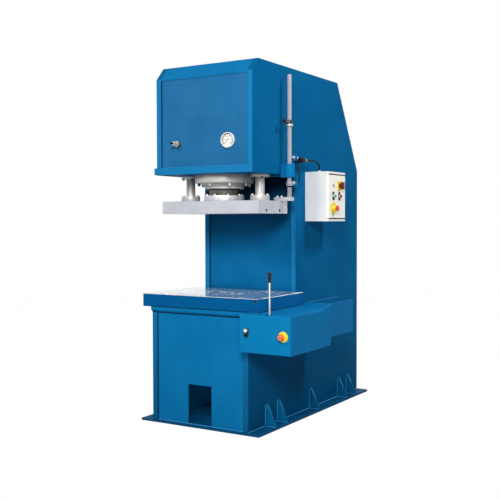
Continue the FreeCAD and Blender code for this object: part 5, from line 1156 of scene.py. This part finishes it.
# main switch on the box door: yellow square, dark red handle, figures 0 and I
sheet, hub, hubLow, hubHigh, bar, barLong = 0.006, 0.019, 0.0063, 0.0183, 0.013, 0.052
barLow, barHigh, corner = 0.0173, 0.0403, 0.0265
switchAt = (boxX, stopY, switchZ)
softened("main_switch_plate", "mainSwitchPlate", "yellow", "signal_yellow", 0.001, 3, 40.0)
hubLine = [(0.0, hubLow), (hub, hubLow), (hub, 0.0155), (hub - 0.0015, hubHigh), (0.0, hubHigh)]
piece("mainSwitchHandle", [lathe(hubLine, 0.0008, 48, switchAt, right),
                           toSide(gripBar(bar, barLong, barLow, barHigh, 6), switchAt)],
      "switchRed", "main_switch_handle", "signal_red", "main_switch_handle", 35.0)
markAt = np.asarray(switchAt) + (barHigh - 0.0001, 0.0, 0.0125)
piece("switchPointer", onSide(roundedRect(0.0016, 0.015, 0.0007, 3), 0.0, 0.0002, markAt, 0.0), "white",
      "main_switch_handle", "button_white")
for word, away, high in (("0", 0.0, 0.0262), ("I", 0.0262, 0.0)):
    place = (boxX + sheet + 0.00005, stopY + away, switchZ + high)
    writing("switchFigure" + word, word, 0.011, place, toTheSide, "box_door")
plateScrew = socketScrew(0.0024, 0.0009, 24)
screwSpots = [(boxX + sheet - 0.0002, stopY + sy * corner, switchZ + sz * corner)
              for sy in (-1.0, 1.0) for sz in (-1.0, 1.0)]
piece("switchScrews", [moved(plateScrew, at, right) for at in screwSpots], "blackSteel", "box_door", "zinc_steel",
      "", 30.0)

# start and stop: legend plates with steel rings, caps in colour
wide, high, sheet, ringOut, out = 0.030, 0.058, 0.003, 0.0145, 0.012
legendSpots = [(boxX, y, buttonZ) for y in (startY, stopY)]
card = roundedRect(wide, high, 0.003, 4)
ringLine = [(0.0113, 0.0012), (0.0136, 0.0012), (ringOut, 0.0035), (ringOut, 0.0085), (0.0136, out - 0.0006),
            (0.0128, out), (0.0117, out), (0.0113, out - 0.0006)]
piece("legendPlates", [onSide(card, 0.0, sheet, at, 0.0005) for at in legendSpots], "blackPlastic",
      "box_door", "black_plastic", "button_bezels", 30.0)
piece("bezelRings", [tube(ringLine, 0.0003, 48, at, right) for at in legendSpots], "nickel", "box_door",
      "grey_metal")
for name, at, word, colour, slotName in (("start", legendSpots[0], "I", "teal", "button_green"),
                                         ("stop", legendSpots[1], "0", "darkRed", "signal_red")):
    cap = moved(buttonCap(0.0073, 0.020, 0.0008), at, right)
    piece(name + "Cap", cap, colour, name + "_button", slotName, name + "_button")
    place = (boxX + sheet + 0.00005, at[1], buttonZ + 0.0215)
    writing(name + "Mark", word, 0.0085, place, toTheSide, "box_door", "white")
softened("door_lock", "doorLock", "nickel", "grey_metal", 0.0003, 2, 40.0)
lockRing = [(0.0094, 0.0), (0.0125, 0.0), (0.0125, 0.0008), (0.0115, 0.0018), (0.0094, 0.0018)]
piece("lockRing", tube(lockRing, 0.0002, 40, (boxX, startY, switchZ), right), "greyPlastic", "box_door",
      "grey_metal")
print("box controls done")

# weld beads: a fillet cross-section carried along each joint, with ripples r = R (1 + 0.14 |sin(pi s / pitch)|)
weld = dict(radius=0.0042, pitch=0.006, ripple=0.14, sink=0.4, runOut=0.004, least=0.15, lag=0.0014)


def beadLine(start, end, inward, pitch=weld["pitch"], size=weld["radius"]):
    # s runs from end to end; the bead thins over the first and last 4 mm, and each ripple lags at its middle
    start, end = np.asarray(start, float), np.asarray(end, float)
    length = np.linalg.norm(end - start)
    along = (end - start) / length
    count = max(int(length / pitch * 3), 12)
    s = np.linspace(0.0, length, count)
    rise = size * (1.0 + weld["ripple"] * np.abs(np.sin(math.pi * s / pitch)))
    rise = rise * np.clip(np.minimum(s, length - s) / weld["runOut"] + weld["least"], weld["least"], 1.0)
    inward = [np.asarray(v, float) / np.linalg.norm(v) for v in inward]
    turn = np.linspace(0.0, math.pi / 2, 6)
    lag = weld["lag"] * np.sin(2.0 * turn)
    skin = (np.cos(turn)[None, :, None] * inward[0] + np.sin(turn)[None, :, None] * inward[1])
    points = start + s[:, None, None] * along + rise[:, None, None] * skin + lag[None, :, None] * along
    root = start + s[:, None] * along - weld["sink"] * size * (inward[0] + inward[1])
    rows = np.concatenate([points, root[:, None]], 1)
    return capped(rows.reshape(-1, 3), gridFaces(count, 7), 7)


def beadPiece(name, beads, finish="beadHighlightPaint", slotName="blue_paint"):
    piece(name, beads, finish, "frame", slotName, "", 50.0)


# round the foot of each side plate between its gussets, and up both faces of every gusset
plateX, half = 0.342, 0.380
beads = []
for sign, out in ((-1.0, left), (1.0, right)):
    for y0, y1 in ((0.004, 0.2125), (0.2295, 0.3705), (0.3875, 0.8335), (0.8505, 1.2965), (1.3135, 1.4545),
                   (1.4715, 1.655)):
        beads.append(beadLine((sign * half, y0, 0.015), (sign * half, y1, 0.015), (out, up)))
    for y in (0.221, 0.379, 0.842, 1.305, 1.463):
        for side in (front, back):
            at = y + side[1] * 0.007
            beads.append(beadLine((sign * (half + 0.001), at, 0.015), (sign * 0.459, at, 0.015), (side, up), 0.005,
                                  0.003))
            beads.append(beadLine((sign * half, at, 0.017), (sign * half, at, 0.160), (side, out), 0.005, 0.003))
beads.append(beadLine((-0.340, 0.010, 0.015), (0.340, 0.010, 0.015), (front, up)))
beadPiece("baseBeads", beads)

# dark strips of painted shade stand in the recessed corners of the front panels and under the rest plate; light beads
# run along the cross plates
beads = []
shadeLines = []
for sign, inner in ((-1.0, right), (1.0, left)):
    x = sign * plateX
    for y, z0, z1, size in ((0.068, 1.719, 2.300, 0.0045), (0.010, 0.017, 0.748, 0.0045),
                            (0.640, 0.784, 1.670, 0.0055)):
        shadeLines.append(beadLine((x, y, z0), (x, y, z1), (inner, front), 0.02, size))
    shadeLines.append(beadLine((sign * 0.381, -0.0005, 0.7495), (sign * 0.343, -0.0005, 0.7495), (front, down), 0.02,
                           0.004))
    beads.append(beadLine((x, 1.652, 0.017), (x, 1.652, 0.897), (inner, back), 0.006, 0.003))
beads += [beadLine(*facts) for facts in (
    ((-0.340, 0.640, 0.782), (0.340, 0.640, 0.782), (front, up), 0.006, 0.0035),
    ((-0.340, 0.640, 1.672), (0.340, 0.640, 1.672), (front, down), 0.006, 0.0035),
    ((-0.378, 0.058, 1.672), (-0.378, 0.628, 1.672), (left, down), 0.006, 0.003),
    ((-0.340, 0.068, 1.718), (0.340, 0.068, 1.718), (front, up), 0.006, 0.003),
    ((-0.340, 0.0685, 2.3095), (0.340, 0.0685, 2.3095), (front, down), 0.007, 0.008),
    ((half, 0.738, 0.778), (half, 1.310, 0.778), (right, up), 0.006, 0.0025))]
beadPiece("frameBeads", beads)
shadeLines.append(beadLine((-0.342, 0.0095, 0.7495), (0.342, 0.0095, 0.7495), (front, down), 0.02, 0.007))
beadPiece("frameShadeLines", shadeLines, "seamDark")
print("weld beads done")

# box details: dark rubber strips above and below the door, gland on the box's top
doorLow, doorHigh, glandY, boxTop, stripLong = 1.3785, 1.6805, 0.884, 1.703, 0.268
stripHigh, stripY = 0.0075, 0.914
seals = []
for low in (doorLow - 0.0080, doorHigh + 0.0005):
    strip = roundedRect(stripLong, stripHigh, 0.0015, 3) + (stripY, low + 0.00375)
    seals.append(onSide(strip, 0.0, 0.0009, (boxX, 0.0, 0.0), 0.0003))
piece("doorSeals", seals, "cableRubber", "frame", "black_plastic", "", 30.0)
glandLow = moved(hexNut(0.0192, 0.005, 0.0062), (rodX, glandY, boxTop + 0.0002), up, 0.2)
domeLine = [(0.0062, 0.0050), (0.0095, 0.0050), (0.0098, 0.0065), (0.0098, 0.0095), (0.0080, 0.0130),
            (0.0062, 0.0132)]
glandTop = tube(domeLine, 0.0004, 36, (rodX, glandY, boxTop))
piece("boxGland", [glandLow, glandTop], "blackPlastic", "frame", "black_plastic", "", 35.0)

# screws of the rear cover, each on its washer
coverScrew = hexScrew(0.0145, 0.0048)
coverSpots = [(x, z) for x in (-0.317, 0.317) for z in (0.925, 1.326, 1.712)]
piece("coverScrews", [moved(coverScrew, (x, 1.6521, z), back, 0.4 + 3.0 * x + z) for x, z in coverSpots], "zinc",
      "frame", "zinc_steel", "", 30.0)

# the ram's side holes: threads inside, black as painted shade, and a dark rim of painted shade; a dark rim of painted
# shade round the table's eye hole too
holeSpots = [(ramAxis[1] + side * 0.087, 1.428) for side in (-1.0, 1.0)]
sideThread = threaded(0.0077, 0.0008, 0.0025, 0.016, 3, 28, True)
sideShadeRim = turned([(0.0077, 0.0002), (0.0077, -0.0004), (0.0102, -0.0004), (0.0102, 0.0003), (0.0077, 0.0002)], 32)
linings = [moved(sideThread, (0.3826, y, z), left) for y, z in holeSpots]
rims = [moved(sideShadeRim, (0.3829, y, z), right) for y, z in holeSpots]
piece("ramSideThreads", linings + rims, "inkBlack", "ram", "zinc_steel", "", 50.0)
eyeShadeRim = turned([(0.0069, -0.0002), (0.0069, 0.0003), (0.0092, 0.0003), (0.0092, -0.0003), (0.0069, -0.0002)], 32)
piece("eyeShadeRim", moved(eyeShadeRim, (table["eye"][0], -0.005, table["eye"][1]), front), "inkBlack", "frame",
      "zinc_steel", "", 50.0)

# dark strips of painted shade where the table stands on its plate and on the console
beadPiece("tableShadeLines", [
    beadLine((-0.386, -0.0050, 0.782), (0.386, -0.0050, 0.782), (front, up), 0.05, 0.0048),
    beadLine((0.4545, -0.003, 0.7825), (0.4545, 0.598, 0.7825), (right, up), 0.05, 0.0040)], "seamDark",
    "black_plastic")
